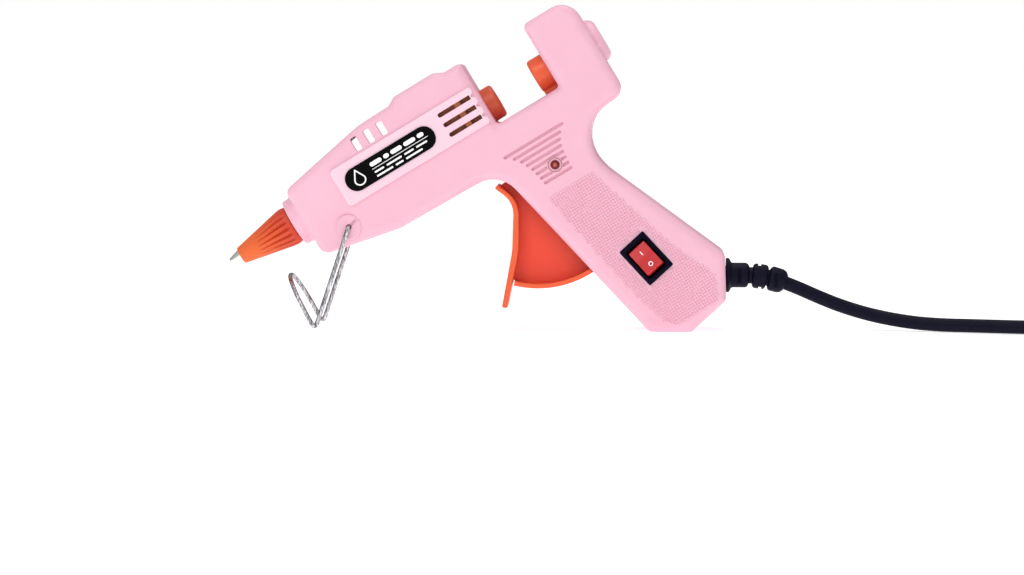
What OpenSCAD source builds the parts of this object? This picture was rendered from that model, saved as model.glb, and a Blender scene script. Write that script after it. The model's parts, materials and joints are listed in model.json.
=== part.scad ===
// Mini hot-melt glue gun, standing on its wire leg and the heel of its handle.
// Millimetres. +X runs from the nozzle towards the cord and +Z is up.
// Most modules are drawn in the gun's own frame, with X along the barrel from
// the housing's nose, and on_bench() tips them into the standing pose.

/* [Pose] */
// Angle of the barrel above the bench
pitch = 31.2; // [28:0.1:34]

/* [Housing] */
// Width across both shells
housing_w = 27; // [25:0.5:30]
// Width of the nose, where the plan outline starts
nose_w = 20.6; // [19:0.2:22]
// Wall of the shells
wall = 2; // [1.6:0.1:2.4]
// Rounding of the shells' side edges
edge_r = 3; // [1:0.5:3.5]
// Height of the raised panel on the left side
panel_h = 0.8; // [0.4:0.1:0.8]
// Length of the flat face under the heel
heel_len = 13.8; // [12:0.2:16]

/* [Melt line] */
// Diameter of the glue stick
stick_d = 7.2; // [6.8:0.1:7.6]
// Free play of the stick in the rear entry, on the diameter
stick_play = 0.8; // [0.8:0.1:1.2]
// Free play of the stick in the carriage and the inlet sleeve, on the diameter
guide_play = 0.4; // [0.3:0.1:0.4]
// Length of the nozzle ahead of the housing
nozzle_len = 25; // [20:1:30]
// Diameter of the nozzle's orifice
orifice_d = 1.6; // [1:0.1:2.4]
// Diameter of the melt chamber
chamber_d = 12; // [11.6:0.2:12.4]
// Length of the melt chamber's full-width part
chamber_len = 50; // [48:0.5:52]
// Outer diameter of the inlet sleeve and of the carriage's ring
ring_d = 11.7; // [11:0.1:12]
// How far the inlet sleeve stands out of the barrel's rear
ring_proud = 4.3; // [3:0.1:5]

/* [Feed] */
// Travel of the carriage
feed_travel = 10; // [8:0.5:11]
// Height of the carriage's pin above the trigger's pivot
pin_rise = 19; // [18.4:0.1:19.4]
// Diameter of the carriage's pin
feed_pin_d = 2; // [1.6:0.1:2.4]
// Width of the trigger's rim
trigger_w = 15; // [12:0.5:16]
// Thickness of the trigger's rim
rim_t = 1.6; // [1.2:0.1:2]
// Radius of the trigger's lower rib about the pivot
rib_r = 33.6; // [32:0.1:34]
// Diameter of the trigger's pin
trigger_pin_d = 3; // [2.5:0.1:3.5]
// Wire of the return spring
spring_wire_d = 0.6; // [0.4:0.1:0.8]
// Mean diameter of the return spring
spring_d = 4; // [3:0.1:4.4]
// Number of turns of the return spring
spring_turns = 11; // [8:1:14]

/* [Stand] */
// Diameter of the stand's wire
wire_d = 1.5; // [1.2:0.1:1.8]
// Gap between each leg of the stand and the housing's side
stand_gap = 0.35; // [0.35:0.05:1]
// Lean of the opened legs from the vertical
stand_lean = 18.3; // [12:0.1:24]
// Length of the stand's rounded front loop
loop_len = 19.6; // [16:0.2:22]
// Bend radius of the front loop
loop_r = 14; // [6:0.5:14]
// Diameter of the eyelets that hold the stand
eyelet_d = 8.4; // [7:0.2:9]

/* [Switch and lamp] */
// Length of the switch's bezel
bezel_l = 15; // [14:0.1:16]
// Width of the switch's bezel
bezel_w = 10.5; // [10:0.1:11]
// Depth of the switch's body behind the bezel
switch_depth = 11; // [9:0.5:12]
// Angle between the rocker's two positions
rocker_throw = 16; // [10:1:20]
// Diameter of the indicator lamp
lamp_d = 3; // [2.8:0.1:3.2]

/* [Fasteners] */
// Shank diameter of the housing screws
screw_d = 2.8; // [2.5:0.1:3]
// Head diameter of the housing screws
screw_head_d = 5.4; // [5:0.1:5.6]

/* [Cord] */
// Diameter of the cord
cord_d = 4.6; // [4.2:0.1:5]
// Diameter of the strain relief's rings
relief_d = 8.3; // [7.5:0.1:9]
// Width of the plug
plug_w = 20; // [18:0.5:22]
// Thickness of the plug
plug_t = 14.6; // [13:0.2:16]
// Length of the plug's body
plug_l = 24; // [20:0.5:26]

/* [Clearances] */
// Radial play of shafts that turn in holes
run_gap = 0.06; // [0.02:0.01:0.08]
// Play of the feed pin in the trigger's slot, each side
slot_gap = 0.08; // [0.06:0.01:0.1]
// Gap between pieces that move past each other
move_gap = 0.35; // [0.3:0.05:0.5]
// Gap between pieces that are pushed together by hand
seat_gap = 0.05; // [0.02:0.01:0.1]

/* [Hidden] */
$fn = 48;

half_w = housing_w / 2;
cut = 40; // reach of a cut that only has to pass right through

// Side outline of the housing as corners [x, z, radius], from the nose along
// the underside, round the handle and the hook, and back along the top.
heel = [83.45, -91.75];
heel_rear = heel + heel_len * [cos(pitch), -sin(pitch)];
barrel_rear = 75.75;
hook_front = 99.7;
hook_rear = 117.5;
nose_x = 3.7;
saddle_z = -6.9;
OUTLINE = [
    [nose_x, -14, 3.5],
    [30.5, -19.7, 15],
    [68.2, -20.5, 10],
    [heel[0], heel[1], 2.5],
    [heel_rear[0], heel_rear[1], 1.5],
    [110.5, -95.9, 2.5],
    [118.2, -82.3, 3],
    [98.9, -36.5, 20],
    [98.5, -20, 12.5],
    [hook_rear, -19.8, 4.5],
    [hook_rear, 16.8, 6.5],
    [hook_front, 16.8, 2.2],
    [hook_front, saddle_z, 1.2],
    [barrel_rear, saddle_z, 1.2],
    [barrel_rear, 16.9, 1.5],
    [69.4, 16.9, 1],
    [66.2, 18.6, 2],
    [51, 18.6, 2],
    [48.2, 16.9, 1],
    [36, 16.6, 25],
    [nose_x, 10.7, 3],
];
collar_d = 16.3;
taper_end = 24;

// Passages for the stick and places along the barrel
entry_r = (stick_d + stick_play) / 2;
guide_r = (stick_d + guide_play) / 2;
tail_r = ring_d / 2 - 0.95;
tail_len = 6;
sleeve_end = barrel_rear + ring_proud;
ring_front = 94;
ring_len = 10;
entry_len = 2.8;
WINDOWS = [31.6, 36.55, 41.5];
window_w = 2.2;
window_h = 4.8;
window_z = 9.4;
spigot_r = 3.6;

// Trigger, feed pin and sled
pivot = [76.3, -31.7];
half_swing = atan(feed_travel / 2 / pin_rise);
feed_pin = pivot + [feed_travel / 2, pin_rise];
spring_peg = pivot + 11 * [sin(half_swing), cos(half_swing)];
spring_post = [97.3, -20.8];
spring_y = 5;
web_t = 2.5;
arm_t = 3;
ear_gap = 0.4;
ear_t = 2;
neck_t = 4;
sled_z = feed_pin[1] - 2.3;

// Screws, stand, switch and lamp
SCREWS = [[8.3, -10.9], [54, 13.2], [109, 11.5], [108.5, -13], [97.5, -92.5], [58, -14]];
head_seat = 7;
head_t = 2;
stand_pivot = [16.2, -10.5];
wire_r = wire_d / 2;
stand_w = housing_w + wire_d + 2 * stand_gap; // between the middles of its legs
socket_depth = 4;
lamp_at = [85.4, -28.1];
switch_at = [95.2, -70.1];
switch_tilt = 11.7;
bezel_t = 1.2;
rocker_axis_y = 0.2;

// Feet of the standing pose
function tip(p) = [cos(pitch) * p[0] - sin(pitch) * p[1], sin(pitch) * p[0] + cos(pitch) * p[1]];
relief_at = [114.35, -89.1];
relief_len = 20.3;
relief_bow = 0.0125; // downward bow past the first ring, in 1/mm
relief_root = wall + 1.6; // depth of its inner flange's back
lift = -tip(heel)[1];
relief_reach = relief_len + 0.9;
shift = -(tip([-nozzle_len, 1.2])[0] + tip(relief_at)[0] + relief_reach) / 2;
pivot_up = tip(stand_pivot) + [shift, lift];
leg_len = (pivot_up[1] - wire_r) / cos(stand_lean);

// Route of the free cord over the bench, then the last stretch up to the plug
CORD_LEAD = [[92, 0, 15.9], [97, 0, 13.9], [103, 0, 11.3], [110, -0.4, 8.5],
    [118, -1.2, 6], [126, -2.6, 4.2], [135, -4.8, 2.9], [144, -7.6, 2.4],
    [153, -10.8, 2.4], [162, -13.8, 2.4], [171, -16.4, 2.4], [180, -18, 2.5], [189, -18.6, 2.7]];
CORD_TAIL = [[199, 14, 12.1], [193.6, 12.9, 12.3], [189.1, 9.9, 13], [186.1, 5.3, 14.4],
    [185, 0, 16.2], [186.1, -5.2, 18.2], [189.1, -9.4, 20], [193.6, -12.1, 21.3],
    [199, -13, 21.7], [205, -13, 21.7]];
hank_x = 219;
hank_run = 40;
hank_r = 14;
hank_rows = 3;
tie_t = 0.6;
tie_w = 5;
plug_x = 217;
plug_y = -13;
plug_z = 21.7;
blade_l = 17;
blade_gap = 12.7;

// ---- functions ----

function unit(v) = v / norm(v);
function left_of(v) = [-v[1], v[0]];
function edge(a, b) = unit([b[0] - a[0], b[1] - a[1]]);
function before(list, i) = list[(i + len(list) - 1) % len(list)];
function after(list, i) = list[(i + 1) % len(list)];
function turn_of(e1, e2) = atan2(e1[0] * e2[1] - e1[1] * e2[0], e1 * e2);
function spin(v, a) = [v[0] * cos(a) - v[1] * sin(a), v[0] * sin(a) + v[1] * cos(a)];

// Corners moved inwards by d, with each radius kept concentric
function inset(corners, d) = [for (i = [0:len(corners) - 1])
    let (b = corners[i], e1 = edge(before(corners, i), b), e2 = edge(b, after(corners, i)))
    let (n1 = left_of(e1), n2 = left_of(e2), m = (n1 + n2) / (1 + n1 * n2))
    [b[0] + d * m[0], b[1] + d * m[1], max(0, turn_of(e1, e2) > 0 ? b[2] - d : b[2] + d)]];

// Points of the outline with every corner rounded to its radius
function rounded(corners, step = 15) = [for (i = [0:len(corners) - 1])
    let (b = corners[i], e1 = edge(before(corners, i), b), e2 = edge(b, after(corners, i)))
    let (turn = turn_of(e1, e2), r = b[2], n = ceil(abs(turn) / step))
    let (start = [b[0], b[1]] - e1 * r * tan(abs(turn) / 2))
    let (centre = start + left_of(e1) * r * sign(turn))
    for (k = [0:r > 0.05 ? n : 0])
        r > 0.05 ? centre + spin(start - centre, turn * k / n) : [b[0], b[1]]];

// Points of an arc about a centre, from one angle to another
function arc(centre, r, a0, a1, n) = [for (k = [0:n])
    centre + r * [cos(a0 + (a1 - a0) * k / n), sin(a0 + (a1 - a0) * k / n)]];

// One ring of a tube, square to its direction t
function ring(p, t, r, n, up) = let (a = unit(cross(t, up)), b = cross(a, t))
    [for (k = [0:n - 1]) p + r * (cos(360 * k / n) * a + sin(360 * k / n) * b)];
function heading(route, i) = unit(route[min(i + 1, len(route) - 1)] - route[max(i - 1, 0)]);

// ---- shared shapes ----

// Tube swept along a route. Its radius and the direction that its rings start at
// are one value, or a list with one for each point.
module tube(route, r, n = 8, up = [0, 0, 1]) {
    points = [for (i = [0:len(route) - 1]) each ring(route[i], heading(route, i),
        is_list(r) ? r[i] : r, n, is_list(up[0]) ? up[i] : up)];
    last = (len(route) - 1) * n;
    faces = concat([[for (k = [n - 1:-1:0]) k]],
        [for (i = [0:len(route) - 2]) for (k = [0:n - 1])
            [i * n + k, i * n + (k + 1) % n, (i + 1) * n + (k + 1) % n, (i + 1) * n + k]],
        [[for (k = [0:n - 1]) last + k]]);
    polyhedron(points, faces, convexity = 6);
}

// The standing pose of what is drawn in the gun's frame
module on_bench() {
    translate([shift, 0, lift]) rotate([0, -pitch, 0]) children();
}

// A plate in the XZ plane between two values of Y
module slab(points, y0, y1) {
    translate([0, y1, 0]) rotate([90, 0, 0]) linear_extrude(y1 - y0, convexity = 8) polygon(points);
}

// A round bar along Y between two values of Y, at [x, z]
module bar_y(at, r, y0, y1) {
    translate([at[0], y1, at[1]]) rotate([90, 0, 0]) cylinder(r = r, h = y1 - y0);
}

// A round bar along X between two values of X, on the barrel's axis
module bar_x(r, x0, x1) {
    translate([x0, 0, 0]) rotate([0, 90, 0]) cylinder(r = r, h = x1 - x0);
}

// A solid of revolution about the barrel's axis, from points [radius, x]
module turned(profile) {
    rotate([0, 90, 0]) rotate_extrude() polygon(profile);
}

module box(low, high) {
    translate(low) cube(high - low);
}

module mirrored_y() {
    children();
    mirror([0, 1, 0]) children();
}

// ---- housing ----

// Plan outline that narrows the nose, pulled in by d
module plan(d) {
    translate([0, 0, -cut * 3]) linear_extrude(cut * 4)
        polygon([[nose_x + d, -1], [nose_x + d, nose_w / 2 - d], [taper_end, half_w - d],
            [cut * 4, half_w - d], [cut * 4, -1]]);
}

// Outer form of one half, with its side edge rounded in steps
module half_form() {
    steps = 4;
    intersection() {
        union() {
            slab(rounded(OUTLINE), 0, half_w - edge_r);
            for (k = [1:steps]) {
                a = 90 * (k - 0.5) / steps;
                slab(rounded(inset(OUTLINE, edge_r * (1 - cos(a)))), half_w - edge_r - 0.5,
                    half_w - edge_r + edge_r * sin(90 * k / steps));
            }
        }
        plan(0);
    }
}

// Hollow of one half
module half_hollow() {
    intersection() {
        slab(rounded(inset(OUTLINE, wall)), -1, half_w - wall);
        plan(wall);
    }
}

// Plate that carries the melt chamber, with its seat cut out
module chamber_rib(x) {
    difference() {
        box([x, 0, -8.5], [x + 1.5, half_w - wall, 9]);
        bar_x(chamber_d / 2 + seat_gap, x - 1, x + 3);
    }
}

// What stands inside each half
module half_inside() {
    bar_y(stand_pivot, eyelet_d / 2 - 1.2, half_w - socket_depth - 1, half_w);
    bar_y(pivot, trigger_pin_d / 2 + 1.8, trigger_w / 2 - 1, half_w);
    chamber_rib(12);
    chamber_rib(47);
    intersection() {
        bar_x(entry_r + 1.5, hook_front + ring_len - 4, hook_rear);
        box([0, 0, -cut], [cut * 4, cut, cut]);
    }
    box([84, 5, sled_z - 1.7], [hook_front + 3, half_w - 1, sled_z - move_gap]);
}

// Half of the shell that both sides share, at positive Y
module half_shell() {
    difference() {
        union() {
            difference() {
                union() {
                    half_form();
                    bar_x(collar_d / 2, 0, 5);
                    bar_y(stand_pivot, eyelet_d / 2, half_w - 3, half_w);
                    turned([[0, hook_rear - 1], [7.6, hook_rear - 1], [7.6, hook_rear + 1],
                        [6.2, hook_rear + entry_len], [0, hook_rear + entry_len]]);
                }
                half_hollow();
            }
            intersection() {
                half_form();
                half_inside();
            }
        }
        box([-cut, -cut, -cut * 3], [cut * 4, 0, cut]);
        // nose, barrel rear and stick passages
        bar_x(chamber_d / 2 + 0.7, -1, nose_x + wall + 1);
        bar_x(ring_d / 2 + seat_gap, barrel_rear - 4, barrel_rear + 1);
        bar_x(ring_d / 2 + move_gap, hook_front - 1, hook_front + ring_len - 4);
        bar_x(entry_r, hook_front, hook_rear + entry_len + 1);
        // slot that the sled's neck runs in
        box([ring_front - feed_travel + 0.1, -1, saddle_z - 4],
            [ring_front + ring_len, neck_t / 2 + move_gap, saddle_z + 4]);
        // mouth of the trigger
        slab([[64, -23.5], [74, -23.5], [86, -66.8], [64, -66.8]], -1, trigger_w / 2 + move_gap);
        bar_y(pivot, trigger_pin_d / 2, 0, half_w - wall / 2);
        bar_y(stand_pivot, wire_r + run_gap, half_w - socket_depth, half_w + 1);
        // vents over the inlet sleeve
        for (k = [0:2]) box([60.6, half_w - 3.5, 4.75 - 3.7 * k], [72.9, cut, 6.25 - 3.7 * k]);
        // ribs of the thumb grip
        for (k = [0:7]) {
            middle = 83.4 + 0.16 * k;
            reach = 5 + 6.4 * exp(-0.42 * k);
            box([middle - reach, half_w - 0.6, -18.2 - 1.99 * k],
                [middle + reach, cut, -17.1 - 1.99 * k]);
        }
        // cord outlet, square to its face
        translate([relief_at[0], 0, relief_at[1]]) rotate([0, pitch + 90, 0])
            cylinder(r = relief_d / 2 - 1, h = 14, center = true);
    }
}

// Screw holes: pilot holes in the left shell, stepped holes in the right one
module pilot_boss(at) {
    difference() {
        bar_y(at, screw_d / 2 + 1.7, 0, half_w - wall / 2);
        bar_y(at, screw_d / 2 - 0.2, -1, half_w - wall - 1);
    }
}

module head_boss(at) {
    difference() {
        bar_y(at, screw_head_d / 2 + 1.3, 0, half_w - wall / 2);
        bar_y(at, screw_d / 2 + 0.25, -1, cut);
        bar_y(at, screw_head_d / 2 + 0.2, head_seat, cut);
    }
}

module left_shell() {
    color("pink") on_bench() mirror([0, 1, 0]) {
        difference() {
            union() {
                half_shell();
                intersection() {
                    half_form();
                    for (s = SCREWS) pilot_boss(s);
                }
                raised_panel();
                bar_y(lamp_at, lamp_d / 2 + 1.1, half_w - 1, half_w + 0.2);
            }
            for (s = SCREWS) bar_y(s, screw_d / 2 - 0.2, -1, half_w - wall - 1);
            for (x = WINDOWS) box([x, 0, window_z], [x + window_w, cut, window_z + window_h]);
            bar_y(lamp_at, lamp_d / 2 + seat_gap, 0, cut);
            bar_y(lamp_at, lamp_d / 2 + 0.5, 0, half_w - wall + 0.4);
            at_switch() box([-bezel_l / 2 + 1, -switch_depth, -bezel_w / 2 + 0.8],
                [bezel_l / 2 - 1, cut, bezel_w / 2 - 0.8]);
        }
    }
}

module raised_panel() {
    corners = [[20, -5.1, 1.5], [74.5, -5.1, 1.5], [74.5, 8.6, 1.5], [20, 8.6, 1.5]];
    difference() {
        slab(rounded(corners), half_w - 1, half_w + panel_h);
        for (k = [0:2]) box([60.6, 0, 4.75 - 3.7 * k], [72.9, cut, 6.25 - 3.7 * k]);
    }
}

module right_shell() {
    color("pink") on_bench() {
        difference() {
            union() {
                half_shell();
                intersection() {
                    half_form();
                    for (s = SCREWS) head_boss(s);
                }
                bar_y(spring_post, 1.3, spring_y - 1.2, half_w - wall / 2);
            }
            for (s = SCREWS) {
                bar_y(s, screw_d / 2 + 0.25, -1, cut);
                bar_y(s, screw_head_d / 2 + 0.2, head_seat, cut);
            }
            box([WINDOWS[0] - window_w, 0, window_z],
                [WINDOWS[2] + window_w, cut, window_z + window_h + 1.2]);
        }
    }
}

module housing_screws() {
    color("silver") on_bench() for (s = SCREWS) {
        bar_y(s, screw_d / 2, -(half_w - wall - 2.5), head_seat);
        difference() {
            bar_y(s, screw_head_d / 2, head_seat, head_seat + head_t);
            for (a = [0, 90]) translate([s[0], head_seat + head_t, s[1]]) rotate([0, a, 0])
                cube([3, 2.4, 0.7], center = true);
        }
    }
}

module label_plate() {
    color("black") on_bench() hull() for (x = [27, 52.8])
        bar_y([x, 1.7], 4, -half_w - panel_h - 0.4, -half_w - panel_h);
}

// ---- melt line ----

// Radius of the nozzle's metal at a place along the barrel
function nozzle_r(x) = 2.3 + (x + nozzle_len - 4) * 0.105;

module nozzle_tip() {
    bore = 2.5;
    color("silver") on_bench() turned([
        [orifice_d / 2, -nozzle_len], [1.2, -nozzle_len], [2.3, -nozzle_len + 4],
        [nozzle_r(-4), -4], [5, -4], [5, 1], [spigot_r, 1], [spigot_r, 7.8],
        [bore, 7.8], [bore, -nozzle_len + 8], [orifice_d / 2, -nozzle_len + 5]]);
}

module nozzle_sleeve() {
    flutes = 18;
    start = -nozzle_len + 4;
    color("orangered") on_bench() difference() {
        turned([[nozzle_r(start) + seat_gap, start], [nozzle_r(start) + 0.6, start],
            [6.6, -3], [6.6, -1], [6.2, 0],
            [5 + seat_gap, 0], [5 + seat_gap, -4 - seat_gap], [nozzle_r(-4) + seat_gap, -4 - seat_gap]]);
        for (k = [0:flutes - 1]) rotate([360 * k / flutes, 0, 0]) translate([-13, 0, 5.3])
            rotate([0, 83, 0]) cylinder(r = 0.35, h = 11);
    }
}

module melt_chamber() {
    r = chamber_d / 2;
    color("gainsboro") on_bench() difference() {
        union() {
            bar_x(r, 1, chamber_len);
            bar_x(tail_r, chamber_len, chamber_len + tail_len);
            box([15, -4.5, -9.2], [46, 4.5, -r + 2.5]);
            for (x = [18, 25, 32, 39]) bar_x(r + 0.9, x, x + 1.2);
        }
        bar_x(spigot_r + seat_gap, 0, 8);
        bar_x(stick_d / 2 + 0.15, 7, chamber_len + tail_len + 1);
        box([15, -cut, -cut], [46, cut, -9.2]);
    }
}

module ptc_heater() {
    color("peru") on_bench() box([20, -4, -11.6], [40, 4, -9.2]);
}

module heater_clip() {
    color("silver") on_bench() difference() {
        box([26.4, -5.1, -12.1], [31.8, 5.1, -4.6]);
        box([26, -4.5, -11.6], [32, 4.5, 0]);
        bar_x(chamber_d / 2, 26, 32);
    }
}

module inlet_sleeve() {
    start = chamber_len + seat_gap;
    color("orangered") on_bench() turned([
        [tail_r, start], [ring_d / 2, start], [ring_d / 2, sleeve_end - 0.5],
        [ring_d / 2 - 0.5, sleeve_end], [guide_r, sleeve_end],
        [guide_r, chamber_len + tail_len + seat_gap], [tail_r, chamber_len + tail_len + seat_gap]]);
}

// ---- feed ----

// Ring, neck and sled that push the stick, without their cuts
module carriage_form() {
    bar_x(ring_d / 2, ring_front, ring_front + ring_len);
    box([ring_front + 0.4, -neck_t / 2, sled_z + 1], [ring_front + ring_len - 0.4, neck_t / 2, -5]);
    mirrored_y() box([feed_pin[0] - 2.4, arm_t / 2 + ear_gap, sled_z],
        [ring_front, arm_t / 2 + ear_gap + ear_t, saddle_z - wall - move_gap]);
    box([feed_pin[0] + 6, -6.5, sled_z],
        [ring_front + ring_len - 0.4, 6.5, saddle_z - wall - move_gap - 0.2]);
}

module carriage() {
    color("orangered") on_bench() difference() {
        carriage_form();
        bar_x(guide_r, ring_front - 1, ring_front + ring_len + 1);
        bar_y(feed_pin, feed_pin_d / 2, -cut, cut);
        tooth_form(seat_gap);
    }
}

// Leaf that leans into the stick's passage, grown by a clearance
module tooth_form(grow) {
    translate([ring_front + 4.6, 0, guide_r + 0.5]) rotate([0, 35, 0])
        cube([1, 4 + 2 * grow, 3] + [-0.5 + 2 * grow, 0, 2 * grow], center = true);
}

module grip_tooth() {
    color("silver") on_bench() tooth_form(0);
}

module carriage_pin() {
    reach = arm_t / 2 + ear_gap + ear_t;
    color("silver") on_bench() bar_y(feed_pin, feed_pin_d / 2, -reach, reach);
}

// Front face of the trigger as corners [x, z, radius]; the rim follows it
FACE = [[63.9, -24.6, 0], [66.9, -31.8, 8], [58, -45.5, 30], [45.4, -59.7, 0]];
module rim() {
    closed = concat(FACE, [[46.8, -60.9, 0], [60.2, -46.2, 28], [68.7, -32.3, 9.6], [65.4, -24, 0]]);
    slab(rounded(closed), -trigger_w / 2, trigger_w / 2);
}

module trigger() {
    tip_a = 225;
    end_a = 272;
    tilt = half_swing;
    far = norm([feed_travel / 2, pin_rise]);
    color("tomato") on_bench() difference() {
        union() {
            rim();
            slab(concat(arc(pivot, rib_r, tip_a, end_a, 12), arc(pivot, rib_r - rim_t, end_a, tip_a, 12)),
                -trigger_w / 2, trigger_w / 2);
            slab(concat([[65.3, -24.8], [67.2, -30], [67, -33.5], [59.8, -45.8], [53, -53.5]],
                arc(pivot, rib_r - 0.5, tip_a + 3, end_a, 8), [[79.5, -34], [77, -28], [71, -24.4]]),
                -web_t / 2, web_t / 2);
            bar_y(pivot, trigger_pin_d / 2 + 2.4, -trigger_w / 2 + 1.8, trigger_w / 2 - 1.8);
            translate([pivot[0], 0, pivot[1]]) rotate([0, tilt, 0])
                box([-2.6, -arm_t / 2, 0], [2.6, arm_t / 2, far + 2.3]);
            bar_y(spring_peg, 1.2, 0, spring_y + 1.2);
        }
        bar_y(pivot, trigger_pin_d / 2 + run_gap, -cut, cut);
        translate([pivot[0], 0, pivot[1]]) rotate([0, tilt, 0]) {
            slot = feed_pin_d / 2 + slot_gap;
            box([-slot, -cut, pin_rise], [slot, cut, far]);
            for (z = [pin_rise, far]) bar_y([0, z], slot, -cut, cut);
        }
    }
}

module trigger_pin() {
    reach = half_w - wall / 2 - 0.2;
    color("silver") on_bench() bar_y(pivot, trigger_pin_d / 2, -reach, reach);
}

// Extension spring between the trigger's peg and the post in the right shell, in one
// wire: a loop round the peg, the turns, and a loop round the post
module return_spring() {
    span = spring_post - spring_peg;
    along = [unit(span)[0], 0, unit(span)[1]];
    across = [-along[2], 0, along[0]];
    peg = [spring_peg[0], spring_y, spring_peg[1]];
    post = [spring_post[0], spring_y, spring_post[1]];
    loop_r = 1.8 + spring_wire_d / 2 + 0.1;
    length = norm(span) - 2 * (loop_r + 1.6);
    first = peg + along * (loop_r + 1.6);
    steps = 10;
    count = spring_turns * steps;
    outward = [for (k = [0:count]) let (a = 360 * k / steps)
        sin(a) * across - cos(a) * [0, 1, 0]];
    turns = [for (k = [0:count]) first + along * length * k / count + spring_d / 2 * outward[k]];
    front_loop = [for (a = [60:30:330]) peg + loop_r * (cos(a) * along + sin(a) * across)];
    rear_loop = [for (a = [210:30:480]) post + loop_r * (cos(a) * along + sin(a) * across)];
    lead = [0, 0.7, 0];
    route = concat(front_loop, [peg + along * (loop_r + 0.7) - lead * 0.5], turns,
        [post - along * (loop_r + 0.7) - lead * 0.5], rear_loop);
    side = [for (p = front_loop) [0, 1, 0]];
    up = concat(side, [[0, 1, 0]], [for (v = outward) -v], [[0, 1, 0]], side);
    color("silver") on_bench() tube(route, spring_wire_d / 2, 6, up);
}

// ---- stand ----

// One bent wire: its ends turn in the eyelets, its legs open forwards to the feet,
// and a rounded loop joins the feet in front
module wire_stand() {
    lean = [-sin(stand_lean), 0, -cos(stand_lean)];
    rise = [-0.48, 0, 0.8773];
    hinge = [pivot_up[0], 0, pivot_up[1]];
    foot = hinge + leg_len * lean;
    side = [0, stand_w / 2, 0];
    leg = [hinge + side - lean * wire_r, foot + side - lean * 0.8, foot + side, foot + side + rise * 0.8];
    bend = [for (a = [0:15:90])
        foot + rise * (loop_len - loop_r + loop_r * sin(a))
        + [0, stand_w / 2 - loop_r + loop_r * cos(a), 0]];
    half = concat(leg, bend);
    other = [for (i = [len(half) - 1:-1:0]) [half[i][0], -half[i][1], half[i][2]]];
    color("silver") {
        tube(concat(half, other), wire_r, 12, [0.6, 0, 0.8]);
        mirrored_y() translate(hinge) bar_y([0, 0], wire_r, half_w - socket_depth + 0.3, stand_w / 2);
    }
}

// ---- switch and lamp ----

// Frame of the switch: X along it, Y out of the side wall, Z across it
module at_switch() {
    translate([switch_at[0], half_w, switch_at[1]]) rotate([0, 90 - switch_tilt, 0]) children();
}

module switch_body() {
    color("black") on_bench() mirror([0, 1, 0]) at_switch() difference() {
        union() {
            box([-bezel_l / 2, 0, -bezel_w / 2], [bezel_l / 2, bezel_t, bezel_w / 2]);
            box([-bezel_l / 2 + 1.1, -switch_depth, -bezel_w / 2 + 0.9],
                [bezel_l / 2 - 1.1, 0.1, bezel_w / 2 - 0.9]);
        }
        box([-5.6, -5.6, -3.7], [5.6, cut, 3.7]);
    }
}

module switch_rocker() {
    r = 5.2;
    color("red") on_bench() mirror([0, 1, 0]) at_switch()
        translate([0, rocker_axis_y, 0]) rotate([0, 0, rocker_throw / 2]) intersection() {
            translate([0, 0, -3.35]) cylinder(r = r, h = 6.7);
            translate([0, 0, -3.35]) linear_extrude(6.7)
                polygon([[-r, -3], [r, -3], [r, 2.6], [0, 1.7], [-r, 2.6]]);
        }
}

module switch_terminals() {
    color("gold") on_bench() mirror([0, 1, 0]) at_switch() for (x = [-3.6, 3.6])
        box([x - 0.4, -switch_depth - 6, -2.4], [x + 0.4, -switch_depth, 2.4]);
}

module lamp_lens() {
    color("darkred") on_bench() {
        bar_y(lamp_at, lamp_d / 2, -half_w - 0.2, -half_w + 4);
        bar_y(lamp_at, lamp_d / 2 + 0.4, -half_w + wall - 0.4, -half_w + wall + 0.6);
        intersection() {
            translate([lamp_at[0], -half_w - 0.2, lamp_at[1]]) sphere(r = lamp_d / 2);
            bar_y(lamp_at, lamp_d / 2, -half_w - 3, -half_w - 0.2);
        }
    }
}

module lamp_board() {
    color("green") on_bench() {
        box([lamp_at[0] - 4, -half_w + 4, lamp_at[1] - 3], [lamp_at[0] + 5, -half_w + 5.2, lamp_at[1] + 3]);
        mirrored_x(lamp_at[0] + 0.5)
            bar_y([lamp_at[0] + 4, lamp_at[1]], 0.8, -half_w + wall, -half_w + 4);
    }
}

module mirrored_x(x) {
    children();
    translate([2 * x, 0, 0]) mirror([1, 0, 0]) children();
}

// ---- wires and cord inside the handle ----

module heater_wires() {
    color("white") on_bench() for (k = [0, 1])
        tube([[40, 2.2 * k - 1.1, -10.4], [42, 2.2 * k - 1.1, -10.4], [46, 1 + 2.2 * k, -10.6],
            [50, 4 + 2.2 * k, -10.4], [54, 6 + 2.2 * k, -9.2], [58, 7 + 2.2 * k, -8.9],
            [62, 7.4 + 2.2 * k, -8.9], [68, 7.8 + 2.2 * k, -10.6], [74, 8 + 2.2 * k, -13.6],
            [79, 8 + 2.2 * k, -18.5], [84, 8.2 + 2 * k, -28], [89, 8.2 + 2 * k, -42],
            [93, 7.8 + 2 * k, -56], [97, 5.6 + 1.9 * k, -66], [100.4, 2 + 1.8 * k, -74],
            [102.4, -0.9 + 1.8 * k, -79.2]], 0.8, 8, [0, 1, 0]);
}

module lamp_wires() {
    color("red") on_bench() for (k = [0, 1])
        tube([[85.6 + 1.8 * k, -half_w + 5.9, -28.1], [85.8 + 1.8 * k, -half_w + 5.9, -31.6],
            [87.6 + 1.8 * k, -half_w + 5.4, -36], [91 + 1.8 * k, -half_w + 4.2, -42],
            [94.6 + 1.8 * k, -half_w + 4, -51], [98 + 1.7 * k, -half_w + 5.6, -58],
            [100.6 + 1.6 * k, -5.4, -64], [101 + 1.6 * k, -3.4, -70], [101.6 + 1.6 * k, -2.7, -77]],
            0.6, 8, [0, 1, 0]);
}

// Frame of the cord at its outlet: X out of the handle, Z up on the bench
module at_relief() {
    p = tip(relief_at) + [shift, lift];
    translate([p[0], 0, p[1]]) children();
}

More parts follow.
